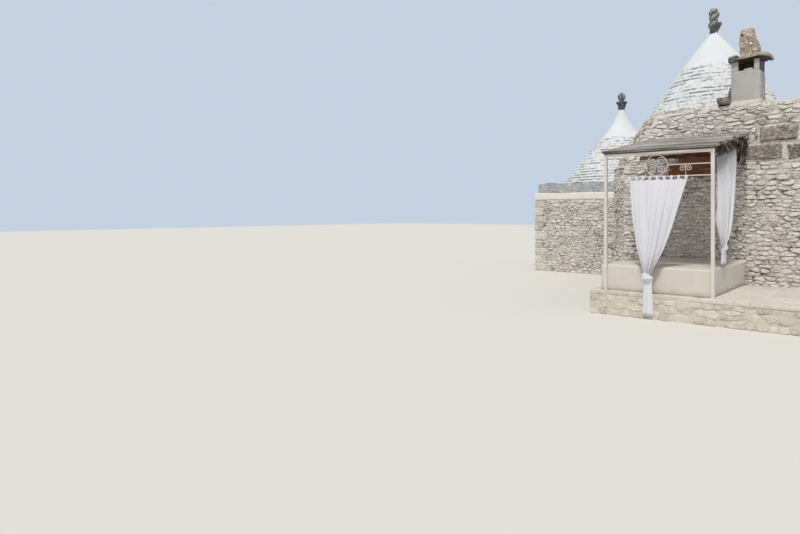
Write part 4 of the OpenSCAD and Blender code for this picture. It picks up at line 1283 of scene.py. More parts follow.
class TRULLO_OT_ledge(bpy.types.Operator):
    """Plaster the coping, lay the rough ledge under the small cone and roof the main corners"""

    bl_idname = "trullo.ledge"
    bl_label = "Coping and Ledges"

    def execute(self, context):
        rng = np.random.default_rng(context.scene.trullo_stones.seed + 3)
        self.coping(rng)
        self.ledge(rng)
        self.corner_roof(rng)
        return {"FINISHED"}

    def coping(self, rng):
        """Four plastered bars round the top of the small house, each lapping the next a little."""
        low, high, x, y = SMALL_LOW, SMALL_HIGH, SMALL_X, SMALL_Y
        half = (high[0] - low[0]) / 2
        z, tall = (low[2] + high[2]) / 2, (high[2] - low[2]) / 2
        wide, made = 0.17, []
        out = half - wide
        for k, (dx, dy) in enumerate(((0, -out), (out, 0), (0, out), (-out, 0))):
            size = (half - 0.001 * k, wide)[:: 1 if k % 2 == 0 else -1]
            made.append(blocks(rng, [x + dx, y + dy, z], [*size, tall + 0.001], 0.035, 0.011,
                               rough=3.5, steps=14))
        piece("white_coping", made, "coping_plaster", ["small_coping"])

    def ledge(self, rng):
        """Two rows of rough lumps on each side, the upper one set back, and stones on top."""
        low, high, x, y = LEDGE_LOW, LEDGE_HIGH, SMALL_X, SMALL_Y
        half = (high[0] - low[0]) / 2
        lumps = []
        for foot, tall, inset, long in ((low[2], 0.15, 0.0, 0.4), (low[2] + 0.13, 0.14, 0.07, 0.42)):
            for side in range(4):
                wide = 2 * (half - inset)
                mid, hl = halfway(row_ends(rng, wide, 0.12, 0.14, long, 36) - wide / 2, 0.002)
                count = len(mid)
                deep = rng.uniform(0.12, 0.17, count)
                out = half - inset - deep + rng.uniform(-0.035, 0.012, count)
                up = tall / 2 * rng.uniform(0.8, 1.35, count)
                turn = side * math.pi / 2
                middles = table(x + np.cos(turn) * mid + np.sin(turn) * out,
                                y + np.sin(turn) * mid - np.cos(turn) * out, foot + tall / 2)
                lumps.append(blocks(rng, middles, table(hl - 0.008, deep, up), 0.05, 0.026,
                                    turns=tilted(turn, "z", count), steps=3))
        piece("ledge_stones", lumps, "ledge_limestone")
        seeds = coursed_seeds(rng, 2 * half - 0.3, y - half + 0.15, y + half - 0.15, (0.3, 0.26))
        seeds[:, 0] += x - half + 0.15
        far = np.hypot(seeds[:, 0] - x, seeds[:, 1] - y)
        top = stones(rng, seeds[far > SMALL_CONE_R - 0.1], flat(high[2]),
                     (x - half + 0.1, y - half + 0.1, x + half - 0.1, y + half - 0.1),
                     stretch=1.0, proud=(0.01, 0.03))
        piece("ledge_top_stones", top, "ledge_limestone")

    def corner_roof(self, rng):
        """Flat slabs on the main house's corners, outside the foot of its cone."""
        low, high = span("corner_roof_slabs")
        seeds = coursed_seeds(rng, high[0] - low[0], low[1], high[1], (0.42, 0.34), split=0.05)
        seeds[:, 0] += low[0]
        far = np.hypot(seeds[:, 0], seeds[:, 1])
        slabs = stones(rng, seeds[far > DRUM_R - 0.12], flat(high[2]),
                       (low[0], low[1], high[0] - 0.006, high[1] - 0.006), stretch=1.0,
                       proud=(0.008, 0.018))
        piece("roof_slabs", slabs, "pale_limestone")


class TRULLO_OT_pinnacles(bpy.types.Operator):
    """Carve the two weathered pinnacles"""

    bl_idname = "trullo.pinnacles"
    bl_label = "Pinnacles"

    # Outlines from the foot up, as radius and height over the plaster tip
    MAIN_BASE = ((0.07, -0.03), (0.078, 0.03), (0.09, 0.08), (0.104, 0.14), (0.122, 0.185),
                 (0.132, 0.215), (0.126, 0.25), (0.098, 0.275), (0.082, 0.31), (0.076, 0.36))
    MAIN_HEAD = ((0.078, 0.32), (0.086, 0.36), (0.097, 0.41), (0.102, 0.46), (0.098, 0.515),
                 (0.082, 0.555), (0.058, 0.585), (0.036, 0.6))
    SMALL_BASE = ((0.09, -0.03), (0.096, 0.03), (0.108, 0.1), (0.124, 0.16), (0.13, 0.2),
                  (0.163, 0.216), (0.166, 0.24), (0.16, 0.262), (0.12, 0.274), (0.062, 0.286),
                  (0.058, 0.33))
    SMALL_HEAD = ((0.056, 0.3), (0.088, 0.335), (0.108, 0.385), (0.11, 0.43), (0.096, 0.48),
                  (0.066, 0.515), (0.04, 0.525), (0.034, 0.548))

    def carved(self, shape, centre, depth, groove):
        """Moves points out by the groove's height, and keeps that height as their tone."""
        p = shape.points - centre
        ridge = groove(np.arctan2(p[:, 1], p[:, 0]), p[:, 2])
        wide = np.hypot(p[:, 0], p[:, 1])
        push = depth * (ridge - 0.6) * np.minimum(wide / 0.05, 1)
        shape.points += unit(p * (1, 1, 0.3)) * push[:, None]
        shape.values["tone"] = np.clip(ridge, 0, 1)

    def execute(self, context):
        rng = np.random.default_rng(context.scene.trullo_stones.seed + 6)
        z0 = TIP_TOP
        foot = column((0, 0, z0), self.MAIN_BASE, bump=0.018, rough=15, seed=3, around=64, along=70)
        self.carved(foot, (0, 0, z0 + 0.16), 0.004, lambda a, z: 0.4 + 0.3 * np.sin(2 * a - 19 * z))
        chip = blocks(rng, [0.128, -0.02, z0 + 0.222], [0.042, 0.04, 0.05], 0.036, 0.008, rough=20,
                      steps=5)
        foot.values["rim"] = foot.values["tone"] * 0
        chip.values["rim"] = chip.values["tone"] * 0 + 1
        top = column((0, 0, z0), self.MAIN_HEAD, bump=0.012, rough=17, seed=4, around=90, along=80)
        self.carved(top, (0, 0, z0 + 0.46), 0.024,
                    lambda a, z: np.abs(np.sin(2 * a - 20 * z + 0.5 * np.sin(3 * a + 1))) ** 0.8)
        piece("main_pinnacle_base", [foot, chip], "pinnacle_stone",
              ["main_pinnacle_foot"])
        piece("main_pinnacle_head", top, "pinnacle_stone", ["main_pinnacle_ball"])
        z0 = SMALL_TIP_HIGH[2]
        at = (SMALL_X, SMALL_Y, z0)
        foot = column(at, self.SMALL_BASE, bump=0.01, rough=13, seed=7, along=70)
        self.carved(foot, (SMALL_X, SMALL_Y, z0 + 0.15), 0.006,
                    lambda a, z: 0.4 + 0.3 * np.sin(5 * a + 30 * z))
        top = column(at, self.SMALL_HEAD, bump=0.006, rough=18, seed=8, around=72, along=70)
        self.carved(top, (SMALL_X, SMALL_Y, z0 + 0.41), 0.014,
                    lambda a, z: np.abs(np.sin(3 * a + 9 * z)) ** 0.8)
        for name, shape, node in (("small_pinnacle_base", foot, "small_pinnacle_foot"),
                                  ("small_pinnacle_head", top, "small_pinnacle_ball")):
            piece(name, shape, "small_pinnacle_stone", [node])
        return {"FINISHED"}


class TRULLO_OT_chimney(bpy.types.Operator):
    """Plaster the chimney and lay its cap, the rough stone on it and the spout beside it"""

    bl_idname = "trullo.chimney"
    bl_label = "Chimney"

    def execute(self, context):
        rng = np.random.default_rng(context.scene.trullo_stones.seed + 4)
        self.shaft(rng)
        self.cap(rng)
        self.rough_stone()
        low, high = span("spout_stone")
        mid = (low + high) / 2
        spout = blocks(rng, [mid[0] - 0.006, mid[1], mid[2] + 0.004],
                       [0.112, (high[1] - low[1]) / 2, 0.068], 0.036, 0.02, rough=13, steps=10)
        piece("round_spout_stone", spout, "grey_limestone", ["spout_stone"])
        return {"FINISHED"}

    def shaft(self, rng):
        """A coat that flares at its foot and turns down into the flue, with piers at its mouth."""
        low, high = CHIMNEY_LOW, CHIMNEY_HIGH
        x, y = (low[0] + high[0]) / 2, (low[1] + high[1]) / 2
        hx, hy = (high[0] - low[0]) / 2 + 0.006, (high[1] - low[1]) / 2 + 0.006
        tall, lean = high[2] - low[2], 0.025
        mouth = tall - 0.165

        def at(z):
            return (hx - lean * z / tall, hy - lean * z / tall, z)

        coat = column((x, y, low[2]), [
            (hx + 0.03, hy + 0.03, -0.03), (hx + 0.028, hy + 0.026, 0.035),
            (hx + 0.012, hy + 0.01, 0.065), at(0.09), at(0.25), at(0.4), at(0.55), at(mouth - 0.012),
            (at(mouth)[0] - 0.012, at(mouth)[1] - 0.012, mouth), (0.125, 0.1, mouth),
            (0.11, 0.085, mouth - 0.01), (0.11, 0.085, mouth - 0.4)],
            power=10, bump=0.006, rough=5, seed=2, around=96, along=100)
        edge = at(tall - 0.08)
        piers = [blocks(rng, [x + sx * (edge[0] - wide), y + sy * (edge[1] - 0.062), high[2] - 0.07],
                        [wide, 0.062, 0.105], 0.014, 0.006, steps=5)
                 for sx, wide in ((-1, 0.062), (1, 0.056)) for sy in (-1, 1)]
        piers.append(blocks(rng, [x, y + edge[1] - 0.055, high[2] - 0.02], [0.14, 0.05, 0.058],
                            0.014, 0.006, steps=4))
        stub = blocks(rng, [[x + 0.01, y - edge[1] + 0.045, low[2] + mouth + 0.004],
                            [x + 0.075, y - edge[1] + 0.05, low[2] + mouth + 0.012]],
                      [[0.045, 0.045, 0.02], [0.05, 0.05, 0.028]], 0.018, 0.01, steps=3)
        piece("chimney_plaster", [coat, *piers, stub], "grey_plaster",
              ["chimney_shaft"])
        k = np.arange(4)
        foot = blocks(rng, table(low[0] - 0.012, low[1] + 0.01 + 0.05 * k, low[2] + 0.1 + 0.085 * k),
                      table(0.03 - 0.004 * k, 0.04, 0.036), 0.012, 0.014, rough=16, steps=3)
        piece("chimney_foot_stones", foot, "grey_limestone")

    def cap(self, rng):
        """Four broken slabs on the piers."""
        low, high = SLAB_LOW, SLAB_HIGH
        mid = (low + high) / 2
        slabs = blocks(
            rng,
            [[low[0] + 0.135, mid[1] - 0.1, low[2] + 0.068], [mid[0] + 0.075, mid[1], low[2] + 0.066],
             [high[0] - 0.03, mid[1] - 0.02, high[2] + 0.002],
             [low[0] + 0.15, mid[1] + 0.16, low[2] + 0.06]],
            [[0.085, 0.2, 0.066], [0.215, 0.3, 0.014], [0.1, 0.27, 0.032], [0.11, 0.15, 0.05]],
            0.028, 0.014, rough=9, turns=tilted([-0.05, -0.065, 0.24, 0.03], "y", 4), steps=9)
        slabs.values["tone"] = np.repeat([0.15, 0.8, 0.95, 0.2], len(slabs.points) // 4)
        piece("chimney_cap_stones", slabs, "cap_limestone", ["chimney_slab"])

    def rough_stone(self):
        """The stone on the slabs: a leaning lump with a hole painted dark as shade, and a pale scar."""
        low, high = STONE_LOW, STONE_HIGH
        base = low[2] - 0.01
        tall = high[2] + 0.045 - base
        x, y = (low[0] + high[0]) / 2 + 0.045, (low[1] + high[1]) / 2
        rock = column((x, y, base), [
            (0.17, 0.145, 0.0), (0.178, 0.15, 0.04), (0.158, 0.135, 0.085), (0.166, 0.14, 0.14),
            (0.172, 0.138, 0.22), (0.165, 0.13, 0.29), (0.15, 0.125, 0.33), (0.134, 0.12, 0.39),
            (0.13, 0.115, tall - 0.06), (0.108, 0.095, tall - 0.012)], top=tall,
            power=3.4, bump=0.034, rough=11, seed=12, around=100, along=90, lean=-0.09)
        p = rock.points
        hole = np.array([x - 0.125, y - 0.1, base + 0.46])
        dent = np.exp(-((p - hole) ** 2).sum(1) / 0.0009)
        p += unit(np.array([x, y, base + 0.46]) - hole) * (dent * 0.06)[:, None]
        spot = np.array([x + 0.028, y - 0.15, base + 0.285])
        pale = np.exp(-(((p - spot) / (0.034, 0.09, 0.036)) ** 2).sum(1))
        rock.values = {"tone": np.clip(dent * 1.6, 0, 1), "rim": pale}
        piece("chimney_rough_stone", rock, "rough_stone", ["chimney_top_stone"])


class TRULLO_OT_roof(bpy.types.Operator):
    """Board the canopy and cover it with reeds, with brushwood hanging at its right edge"""

    bl_idname = "trullo.roof"
    bl_label = "Canopy Roof"

    def execute(self, context):
        rng = np.random.default_rng(context.scene.trullo_stones.seed + 5)
        self.boards(rng)
        self.reeds(rng)
        self.fringe(rng)
        return {"FINISHED"}

    def boards(self, rng):
        """Boards under the reeds, and the old ones on the wall under the roof, one of them dark as painted
        shade.
        """
        low, high = BOARDS_LOW, BOARDS_HIGH
        slope, count, thick = CANOPY_SLOPE, 19, 0.009
        pitch = math.hypot(high[1] - low[1], CANOPY_RISE) / count
        s = (np.arange(count) + 0.5) * pitch
        middles = table((low[0] + high[0]) / 2 + rng.uniform(-0.004, 0.004, count),
                        low[1] + s * math.cos(slope) - math.sin(slope) * thick,
                        low[2] + s * math.sin(slope) + math.cos(slope) * thick)
        halves = [(high[0] - low[0]) / 2 - 0.004, pitch / 2 - 0.004, thick]
        boards = blocks(rng, middles, halves, 0.003, 0.0015, turns=tilted(slope, "x", count), steps=4)
        piece("roof_boards", boards, "red_wood", ["canopy_boards"])
        z, tall = halfway(np.array([2.53, 2.655, 2.78, 2.885, 2.962, 3.06, 3.157]))
        start, end = np.array([-0.33, -0.31, -0.14, -0.9, -0.14, -0.12]), 0.86
        wide, count = (end - start) / 2, len(start)
        middles = table(start + wide, FRONT_Y - 0.036 + rng.uniform(-0.004, 0.004, count), z)
        halves = table(wide, 0.011, tall - rng.uniform(0.003, 0.01, count))
        lean = tilted(rng.uniform(-0.008, 0.008, count), "y", count)
        back = blocks(rng, middles, halves, 0.004, 0.002, turns=lean, steps=10)
        # The fourth board runs on behind the hoop and is the darkest: board, and painted shade under the
        # roof
        back.values["tone"] = np.repeat([0.6, 0.4, 0.75, -0.3, 0.5, 0.3], len(back.points) // count)
        piece("wall_boards", back, "old_red_wood")

    def reeds(self, rng):
        """Three layers of reeds, each a tube with a slow bend."""
        low, high = REED_LOW, REED_HIGH
        t = np.linspace(0, 1, 8)
        made = []
        for layer, (rods, slack) in enumerate(((150, 1), (150, 1), (110, 2.2))):
            radius = rng.uniform(0.0075, 0.0125, rods)
            s = (np.arange(rods) + 0.5 + rng.uniform(-0.3, 0.3, rods)) / rods
            x0 = low[0] + rng.uniform(0, 0.05, rods)
            x1 = high[0] - rng.uniform(0, 0.03, rods)
            bend = rng.uniform(-0.014, 0.014, (rods, 2, 1)) * slack
            y = (low[1] + 0.01 + s * (high[1] - low[1] - 0.014))[:, None]
            y = np.minimum(y + bend[:, 0] * np.sin(t * 3) + bend[:, 1] * np.cos(t * 5), high[1] - 0.004)
            z = (low[2] + 0.012 + s * (CANOPY_RISE + 0.008) + layer * 0.012)[:, None]
            path = table(x0[:, None] + (x1 - x0)[:, None] * t, y,
                         z + rng.uniform(-0.003, 0.003, (rods, 8)))
            made.append(tubes(path, radius[:, None] * (1 - 0.25 * t), 6, tone=rng.random(rods)))
        piece("reed_cover", made, "reed", ["canopy_reed_roof"])

    def fringe(self, rng):
        """Brushwood that hangs along the right edge, deeper towards the wall."""
        low, high = REED_LOW, REED_HIGH
        sticks = 1250
        s = rng.random(sticks) ** 0.85
        tuft = ripple(table(s, 0, 0), 13.0, 31)
        y = low[1] + 0.07 + s * (high[1] - low[1] - 0.42)
        inward = rng.random(sticks) ** 1.2 * 0.12
        deep = (0.09 + 0.4 * s**1.9) * (0.85 + 0.3 * tuft)
        hung = rng.random(sticks) < 0.35
        start = np.where(hung, 0.1, rng.random(sticks) ** 1.3 * 0.8)
        z = low[2] + (y - low[1]) * math.tan(CANOPY_SLOPE) + rng.uniform(-0.02, 0.035, sticks)
        z = z + np.maximum(0.06 - inward, 0) * 0.5 - start * deep
        drop = np.where(hung, deep * rng.uniform(0.4, 1.0, sticks), rng.uniform(0.05, 0.13, sticks))
        t = np.linspace(0, 1, 5)
        swing = rng.normal(0, 0.45, (sticks, 2)) * np.where(hung, 0.6, 2.2)[:, None]
        kink = rng.normal(0, 0.009, (sticks, 5, 3)) * (t > 0)[None, :, None]
        fall = drop[:, None]
        path = kink + table(
            (high[0] - 0.02 - inward)[:, None] + np.minimum(swing[:, :1] * fall * t * 0.5 + 0.02 * t, 0.04),
            y[:, None] + swing[:, 1:] * fall * t, z[:, None] - fall * t**1.3)
        path[..., 0] = np.maximum(path[..., 0], high[0] - 0.16)
        path[..., 1] = np.clip(path[..., 1], low[1] - 0.01, high[1] - 0.2)
        thin = rng.uniform(0.004, 0.01, sticks)[:, None] * (1 - 0.5 * t)
        hang = tubes(path, thin, 4, up=(1, 0.2, 0), tone=rng.random(sticks))
        piece("brushwood_fringe", hang, "brushwood")


class TRULLO_OT_iron(bpy.types.Operator):
    """Bend the round iron bars of the hoop and its scrolls"""

    bl_idname = "trullo.iron"
    bl_label = "Iron Scrollwork"

    def execute(self, context):
        x, y, _ = (IRON_LOW + IRON_HIGH) / 2
        bar = (IRON_HIGH[1] - IRON_LOW[1]) / 2
        ring_r, boss_r, stem_x, scroll_r = 0.1745, 0.024, 0.46, 0.05
        z = RAIL_Z + 0.008 + bar + ring_r

        def rod(path, thick, sides=7, closed=False):
            return tubes(path[None], bar * thick, sides, up=(0, 1, 0), closed=closed)

        def hoop(radius):
            a = circle(72)
            return table(x + radius * np.cos(a), y, z + radius * np.sin(a))

        def curl(cx, cz, start, turns, radius, hand):
            """A spiral whose radius shrinks evenly to 0.22 of itself over its turns."""
            t = np.linspace(0, 1, 48)
            r = radius * (1 - 0.78 * t)
            angle = start + hand * t * turns * 2 * math.pi
            return table(cx + r * np.cos(angle), y, cz + r * np.sin(angle))

        made = [rod(hoop(ring_r), 1, 8, closed=True)]
        inner = ring_r * math.sin(math.pi / 4) / (1 + math.sin(math.pi / 4)) - bar
        far = ring_r - inner - 1.6 * bar
        for k in range(4):
            turn = math.radians(45 + 90 * k)
            cx, cz = x + far * math.cos(turn), z + far * math.sin(turn)
            made.append(rod(curl(cx, cz, turn, 1.6, inner, 1), 0.8))
        made.append(rod(hoop(boss_r), 0.8, closed=True))
        stem_top = z - 0.008
        stem = np.array([RAIL_Z + 0.004, (RAIL_Z + stem_top) / 2, stem_top])
        for sx in (x - stem_x, x + stem_x):
            made.append(rod(table(sx, y, stem), 0.75))
            for hand in (-1, 1):
                start = math.pi if hand > 0 else 0
                scroll = curl(sx + hand * scroll_r, stem_top - 0.06, start, 1.5, scroll_r, -hand)
                made.append(rod(scroll, 0.75))
        piece("hoop_and_scrolls", made, "paint", ["iron_scrollwork"])
        return {"FINISHED"}


class TRULLO_OT_curtains(bpy.types.Operator):
    """Hang the two gathered curtains with their tabs, knots and tails"""

    bl_idname = "trullo.curtains"
    bl_label = "Curtains"

    def edge(self, heights, places):
        """A broken line through a curtain edge's places, averaged over 16 cm of height."""
        spread = np.linspace(-0.08, 0.08, 9)
        heights, places = np.array(heights[::-1]), np.array(places[::-1])
        top = places[-1] + (places[-1] - places[-2]) / (heights[-1] - heights[-2])
        heights, places = np.append(heights, heights[-1] + 1), np.append(places, top)
        return lambda z: np.mean([np.interp(z + d, heights, places) for d in spread], 0)

    def drape(self, name, place, left, right, top, knot, hem, folds, seed, flat, full, most):
        """A gathered sheet: s runs across it from left(z) to right(z), and t runs down it.

        Folds are rounded panels between sharp creases, 2 |cos(phase / 2)|^0.55 - 1.35, with a
        height that keeps the sheet's own width, w / (2 pi n) * sqrt((flat / w)^2 - 1), up to
        most. Below the knot the sheet is rolled up: a flattened spiral of 2.2 turns.
        """
        across, down = 150, 80
        s = np.linspace(0, 1, across)[None]
        t = np.linspace(0, 1, down)[:, None]
        rng = np.random.default_rng(seed)
        head = top(0.5)
        part = (head - knot) / (head - hem)
        upper = np.clip(t / part, 0, 1)
        lower = np.clip((t - part) / (1 - part), 0, 1)
        level = head + (knot - head) * upper
        edge_l, edge_r = left(level), right(level)
        middle = (edge_l + edge_r) / 2
        bow = s + 0.02 * np.sin(2 * math.pi * s * 2 + 1) * (1 - upper) * (1 - lower)
        wide = (edge_r - edge_l) * np.where(lower > 0, 1 + 0.7 * lower**0.4, 1)
        a = middle + (bow - 0.5) * wide
        scallop = 0.036 * np.abs(np.sin(math.pi * 8 * s)) * (1 - np.clip(upper * 14, 0, 1))
        z = np.where(lower > 0, knot + (hem - knot) * lower, top(s) + (knot - top(s)) * upper)
        z = z - scallop + np.where(lower > 0, 0.012 * np.sin(7 * s + 1) * lower, 0)
        warp = 3.0 * np.sin(2 * math.pi * s + rng.uniform(0, 6)) + 1.6 * np.sin(
            6 * math.pi * s + rng.uniform(0, 6) + 1.4 * upper) + 0.7 * np.sin(14 * math.pi * s)
        phase = 2 * math.pi * folds * s + warp * (1 - 0.45 * upper)
        deep = wide / (2 * math.pi * folds) * np.sqrt(np.maximum((flat[0] / wide) ** 2 - 1, 0.2))
        deep = np.minimum(deep * 1.25, most + 0.012 * upper)
        deep = deep * (0.45 + 0.55 * np.clip(upper * 2.2, 0, 1))
        deep = deep * (0.55 + 0.9 * np.sin(math.pi * (3 * s + rng.uniform(0, 1))) ** 2)
        panel = 2 * np.abs(np.cos(phase / 2)) ** 0.55 - 1.35
        broad = 0.012 * np.sin(2 * math.pi * 2.3 * s + rng.uniform(0, 6)) * np.sin(math.pi * upper)
        fine = 0.0012 * np.sin(phase * 2.1 + 4 * upper) + 0.0007 * np.sin(phase * 4.3 + 9 * t)
        belly = 0.02 * np.sin(math.pi * upper) * np.sin(math.pi * s)
        tight = np.clip((upper - 0.78) / 0.22, 0, 1) ** 1.5
        disc = np.sqrt(np.clip(1 - (2 * s - 1) ** 2, 0, 1))
        packed = np.minimum(wide, 0.13) * disc * np.cos(phase) * 0.3
        d = (deep * panel * full + broad + fine) * (1 - tight) + packed * tight + belly
        turn = 2 * math.pi * 2.2 * s + 1.2
        roll = wide / 2 * (0.8 + 0.2 * s) * (1 + 0.09 * np.sin(5 * turn + 2 * lower) * lower)
        a = np.where(lower > 0, middle + roll * np.cos(turn), a)
        thin = (0.02 + 0.008 * lower) * (0.75 + 0.25 * s) * (1 + 0.3 * np.sin(4 * turn))
        slit = 1 - 0.85 * np.exp(-(((roll * np.cos(turn)) / wide + 0.13) / 0.07) ** 2)
        d = np.where(lower > 0, thin * np.sin(turn) * slit, d)
        uv = table(s * flat[0], (1 - t) * flat[1]).reshape(-1, 2)
        shape = Shape(place(a, d, z), grid(down, across)[:, ::-1])
        return piece(name, shape, "cotton", [name.replace("_cloth", "")], uv, 0.0016)

    def knot(self, name, place, a, z, size, seed):
        """Cloth wound on itself: a thick ring of folds round the gathered neck."""
        turn, tube = circle(96)[:, None], circle(40)[None]
        slant = 0.45 * np.cos(turn + 1 + seed)
        thick = size * 0.3 * (1 + 0.16 * np.sin(5 * tube + 2 * turn) + 0.1 * np.sin(2 * turn + seed)
                              + 0.08 * np.sin(9 * tube - 3 * turn))
        ring = size * 0.3 + thick * np.cos(tube)
        points = place(a + ring * np.cos(turn), ring * np.sin(turn) * 0.8,
                       z + thick * 1.4 * np.sin(tube) + size * 0.3 * slant)
        uv = table(turn * size / 2, tube * size / 3 + 0.3).reshape(-1, 2)
        shape = Shape(points, grid(96, 40, ring=True, loop=True))
        return piece(name, shape, "cotton", uv=uv)

    def tabs(self, name, place, a, z):
        """Flat loops over the rail: an ellipse round it with the tab's width along the rail."""
        turn, w = circle(20)[:, None], np.linspace(-1, 1, 5)[None]
        half = 0.015 + 0.007 * np.cos(turn)
        shapes = [Shape(place(at + w * half, 0.0125 * np.cos(turn),
                              height - 0.018 + (0.031 + 0.002 * w) * np.sin(turn)),
                        grid(20, 5, loop=True)) for at, height in zip(a, z)]
        joined = Shape.joined(shapes)
        uv = joined.points[:, [0, 2]]
        return piece(name, joined, "cotton", uv=uv, thickness=0.002)

    def execute(self, context):
        low, high = span("front_curtain")
        row = (RAIL_LOW[1] + RAIL_HIGH[1]) / 2
        tail_y = low[1] + 0.04
        knot_x, knot_z, hem = 0.105, 0.735, low[2] + 0.01
        top_z = RAIL_Z - 0.024

        def front(a, d, z):
            sink = np.clip((top_z - z) / (top_z - knot_z), 0, 1) ** 0.8
            return table(a, row + (tail_y - row) * sink - d, z)

        left = self.edge([2.387, 2.145, 1.662, 1.218, 0.913, 0.74],
                         [-0.248, -0.22, -0.156, -0.072, 0.01, 0.064])
        right = self.edge([2.387, 1.997, 1.502, 1.166, 0.891, 0.74],
                          [0.7, 0.6, 0.478, 0.366, 0.226, 0.158])
        sheet = self.drape("front_curtain_cloth", front, left, right, lambda s: top_z + 0 * s,
                           knot_z, hem, 7, 11, (1.05, 2.33), 0.9, 0.022)
        knot = self.knot("front_curtain_knot", front, knot_x, knot_z - 0.045, 0.15, 3)
        along = np.linspace(left(top_z) + 0.012, right(top_z) - 0.012, 9)
        tabs = self.tabs("front_curtain_tabs", front, along, np.full(9, RAIL_Z))
        low, high = span("side_curtain")
        side_x = 1.082

        def side(a, d, z):
            return table(side_x + d, a, z)

        slope = math.tan(CANOPY_SLOPE)
        rail_z = high[2] - (high[1] - low[1]) * slope

        def top(s):
            return rail_z - 0.016 + s * (high[1] - low[1]) * slope

        knot_y, knot_z = -4.0, 1.225
        near = self.edge([2.78, 2.321, 1.669, 1.339, 1.225], [-4.47, -4.374, -4.309, -4.2, -4.045])
        far = self.edge([2.95, 2.552, 2.19, 1.661, 1.32, 1.225],
                        [-3.08, -3.14, -3.33, -3.55, -3.75, -3.945])
        sheet = self.drape("side_curtain_cloth", side, near, far, top, knot_z, low[2] - 0.02, 9,
                           21, (1.62, 1.95), 1.5, 0.034)
        knot = self.knot("side_curtain_knot", side, knot_y, knot_z - 0.02, 0.125, 5)
        along = np.linspace(near(top(0)) + 0.012, far(top(1)) - 0.012, 11)
        heights = top((along - low[1]) / (high[1] - low[1])) + 0.02
        tabs = self.tabs("side_curtain_tabs", side, along, heights)
        return {"FINISHED"}


class TRULLO_OT_finishes(bpy.types.Operator):
    """Give every solid of the frame that still shows its own finish"""

    bl_idname = "trullo.finishes"
    bl_label = "Finishes"

    def execute(self, context):
        slots = {
            "podium_lime": ["stone_podium"],
            "mortar": ["main_floor", "front_wall", "front_parapet",
                       "left_round_wall", "back_wall", "right_wall", "door_sill", "door_lintel",
                       "small_floor", "small_front_wall", "small_back_wall", "small_left_wall",
                       "small_right_wall", "small_door_sill", "small_door_lintel"],
            "white_joint": ["cone_white_courses", "small_white_courses", "corner_roof_slabs"],
            "bare_joint": ["cone_stone_skirt"],
            "ledge_limestone": ["small_ledge"],
            "grey_plaster": ["chimney_shaft"],
            "paint": ["canopy_posts", "canopy_front_beam", "canopy_side_beams",
                      "front_curtain_rails", "side_curtain_rail"],
            "red_wood": ["canopy_wall_beam", "canopy_rafters"],
            "white_plaster": ["plaster_bench", "cone_plaster_tip", "small_plaster_tip",
                              "small_coping"],
        }
        for coat, nodes in slots.items():
            for name in nodes:
                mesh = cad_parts[name].data
                mesh.materials.clear()
                mesh.materials.append(finish(coat))
        return {"FINISHED"}


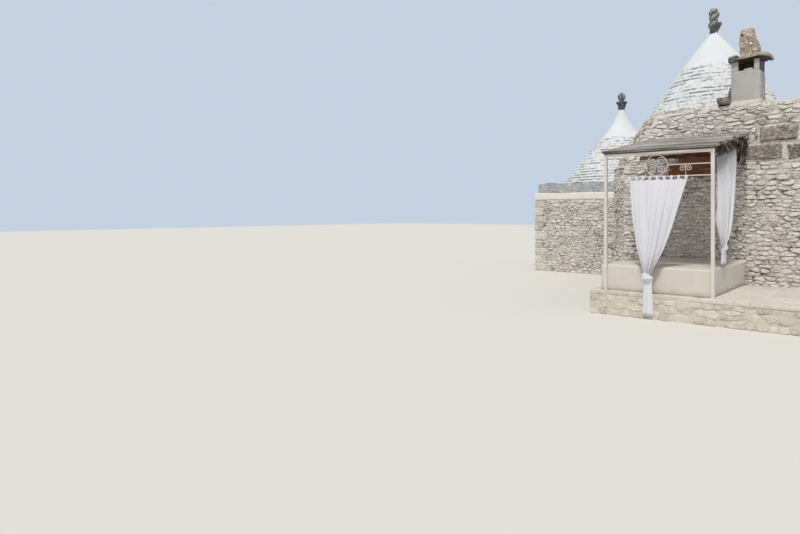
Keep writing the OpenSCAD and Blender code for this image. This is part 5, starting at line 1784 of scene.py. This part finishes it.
class TRULLO_OT_stage(bpy.types.Operator):
    """Set the floor, the sun, the fill light and the camera"""

    bl_idname = "trullo.stage"
    bl_label = "Stage"

    def execute(self, context):
        scene, look = context.scene, context.scene.trullo_stage

        def put(name, data, turn=(0, 0, 0), at=(0, 0, 0)):
            thing = bpy.data.objects.new(name, data)
            thing.rotation_euler, thing.location = turn, at
            scene.collection.objects.link(thing)
            return thing

        view = bpy.data.cameras.new("photo_view")
        view.lens, view.sensor_width, view.clip_end = 27.0, 36.0, 200
        view.shift_y = -55 / 800
        scene.camera = put("photo_view", view, (math.pi / 2, 0, math.radians(40.78)),
                           (3.544, -15.16, 1.8))
        far = 60.0
        mesh = bpy.data.meshes.new("floor")
        corners = [(-far, -far, 0), (far, -far, 0), (far, far, 0), (-far, far, 0)]
        mesh.from_pydata(corners, [], [(0, 1, 2, 3)])
        mesh.materials.append(finish("ground"))
        floor = put("floor", mesh)
        lamp = bpy.data.lights.new("sun", "SUN")
        lamp.energy, lamp.angle, lamp.color = look.sun, math.radians(9), (1.0, 0.97, 0.92)
        towards = unit(np.array([0.12, -0.5, 0.85]))
        put("sun", lamp, (math.acos(towards[2]), 0, math.atan2(towards[0], -towards[1])))
        scene.world = bpy.data.worlds.new("surround")
        sky = Nodes(scene.world)
        ray = sky.node("LightPath", whole=True)
        camera, glossy, through = (Value(sky, ray.outputs[f"Is {kind} Ray"])
                                   for kind in ("Camera", "Glossy", "Transmission"))
        light = sky.node("Background", {}, {0: (0.92, 0.96, 1.0, 1), 1: look.fill})
        seen = sky.node("Background", {}, {0: (*look.backdrop, 1)})
        shares = {0: camera.either(glossy.either(through)), 1: light, 2: seen}
        sky.node("OutputWorld", {}, {0: sky.node("MixShader", {}, shares)}, whole=True)
        scene.view_settings.view_transform = "Standard"
        return {"FINISHED"}


STEPS = (
    TRULLO_OT_stage, TRULLO_OT_finishes, TRULLO_OT_podium, TRULLO_OT_walls, TRULLO_OT_cones,
    TRULLO_OT_ledge, TRULLO_OT_pinnacles, TRULLO_OT_chimney, TRULLO_OT_roof, TRULLO_OT_iron,
    TRULLO_OT_curtains,
)


class TRULLO_PT_panel(bpy.types.Panel):
    """Lists the steps of the finish and their settings"""

    bl_label = "Trullo House"
    bl_idname = "TRULLO_PT_panel"
    bl_space_type = "VIEW_3D"
    bl_region_type = "UI"
    bl_category = "Trullo"

    def draw(self, context):
        for group in (context.scene.trullo_stones, context.scene.trullo_stage):
            for key in group.__annotations__:
                self.layout.prop(group, key)
        for step in STEPS:
            self.layout.operator(step.bl_idname)


CLASSES = (StoneSettings, StageSettings, *STEPS, TRULLO_PT_panel)


def register():
    for each in CLASSES:
        bpy.utils.register_class(each)
    bpy.types.Scene.trullo_stones = bpy.props.PointerProperty(type=StoneSettings)
    bpy.types.Scene.trullo_stage = bpy.props.PointerProperty(type=StageSettings)


def unregister():
    del bpy.types.Scene.trullo_stones
    del bpy.types.Scene.trullo_stage
    for each in reversed(CLASSES):
        bpy.utils.unregister_class(each)


def main():
    register()
    for step in STEPS:
        group, name = step.bl_idname.split(".")
        getattr(getattr(bpy.ops, group), name)()
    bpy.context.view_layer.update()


if __name__ == "__main__":
    main()
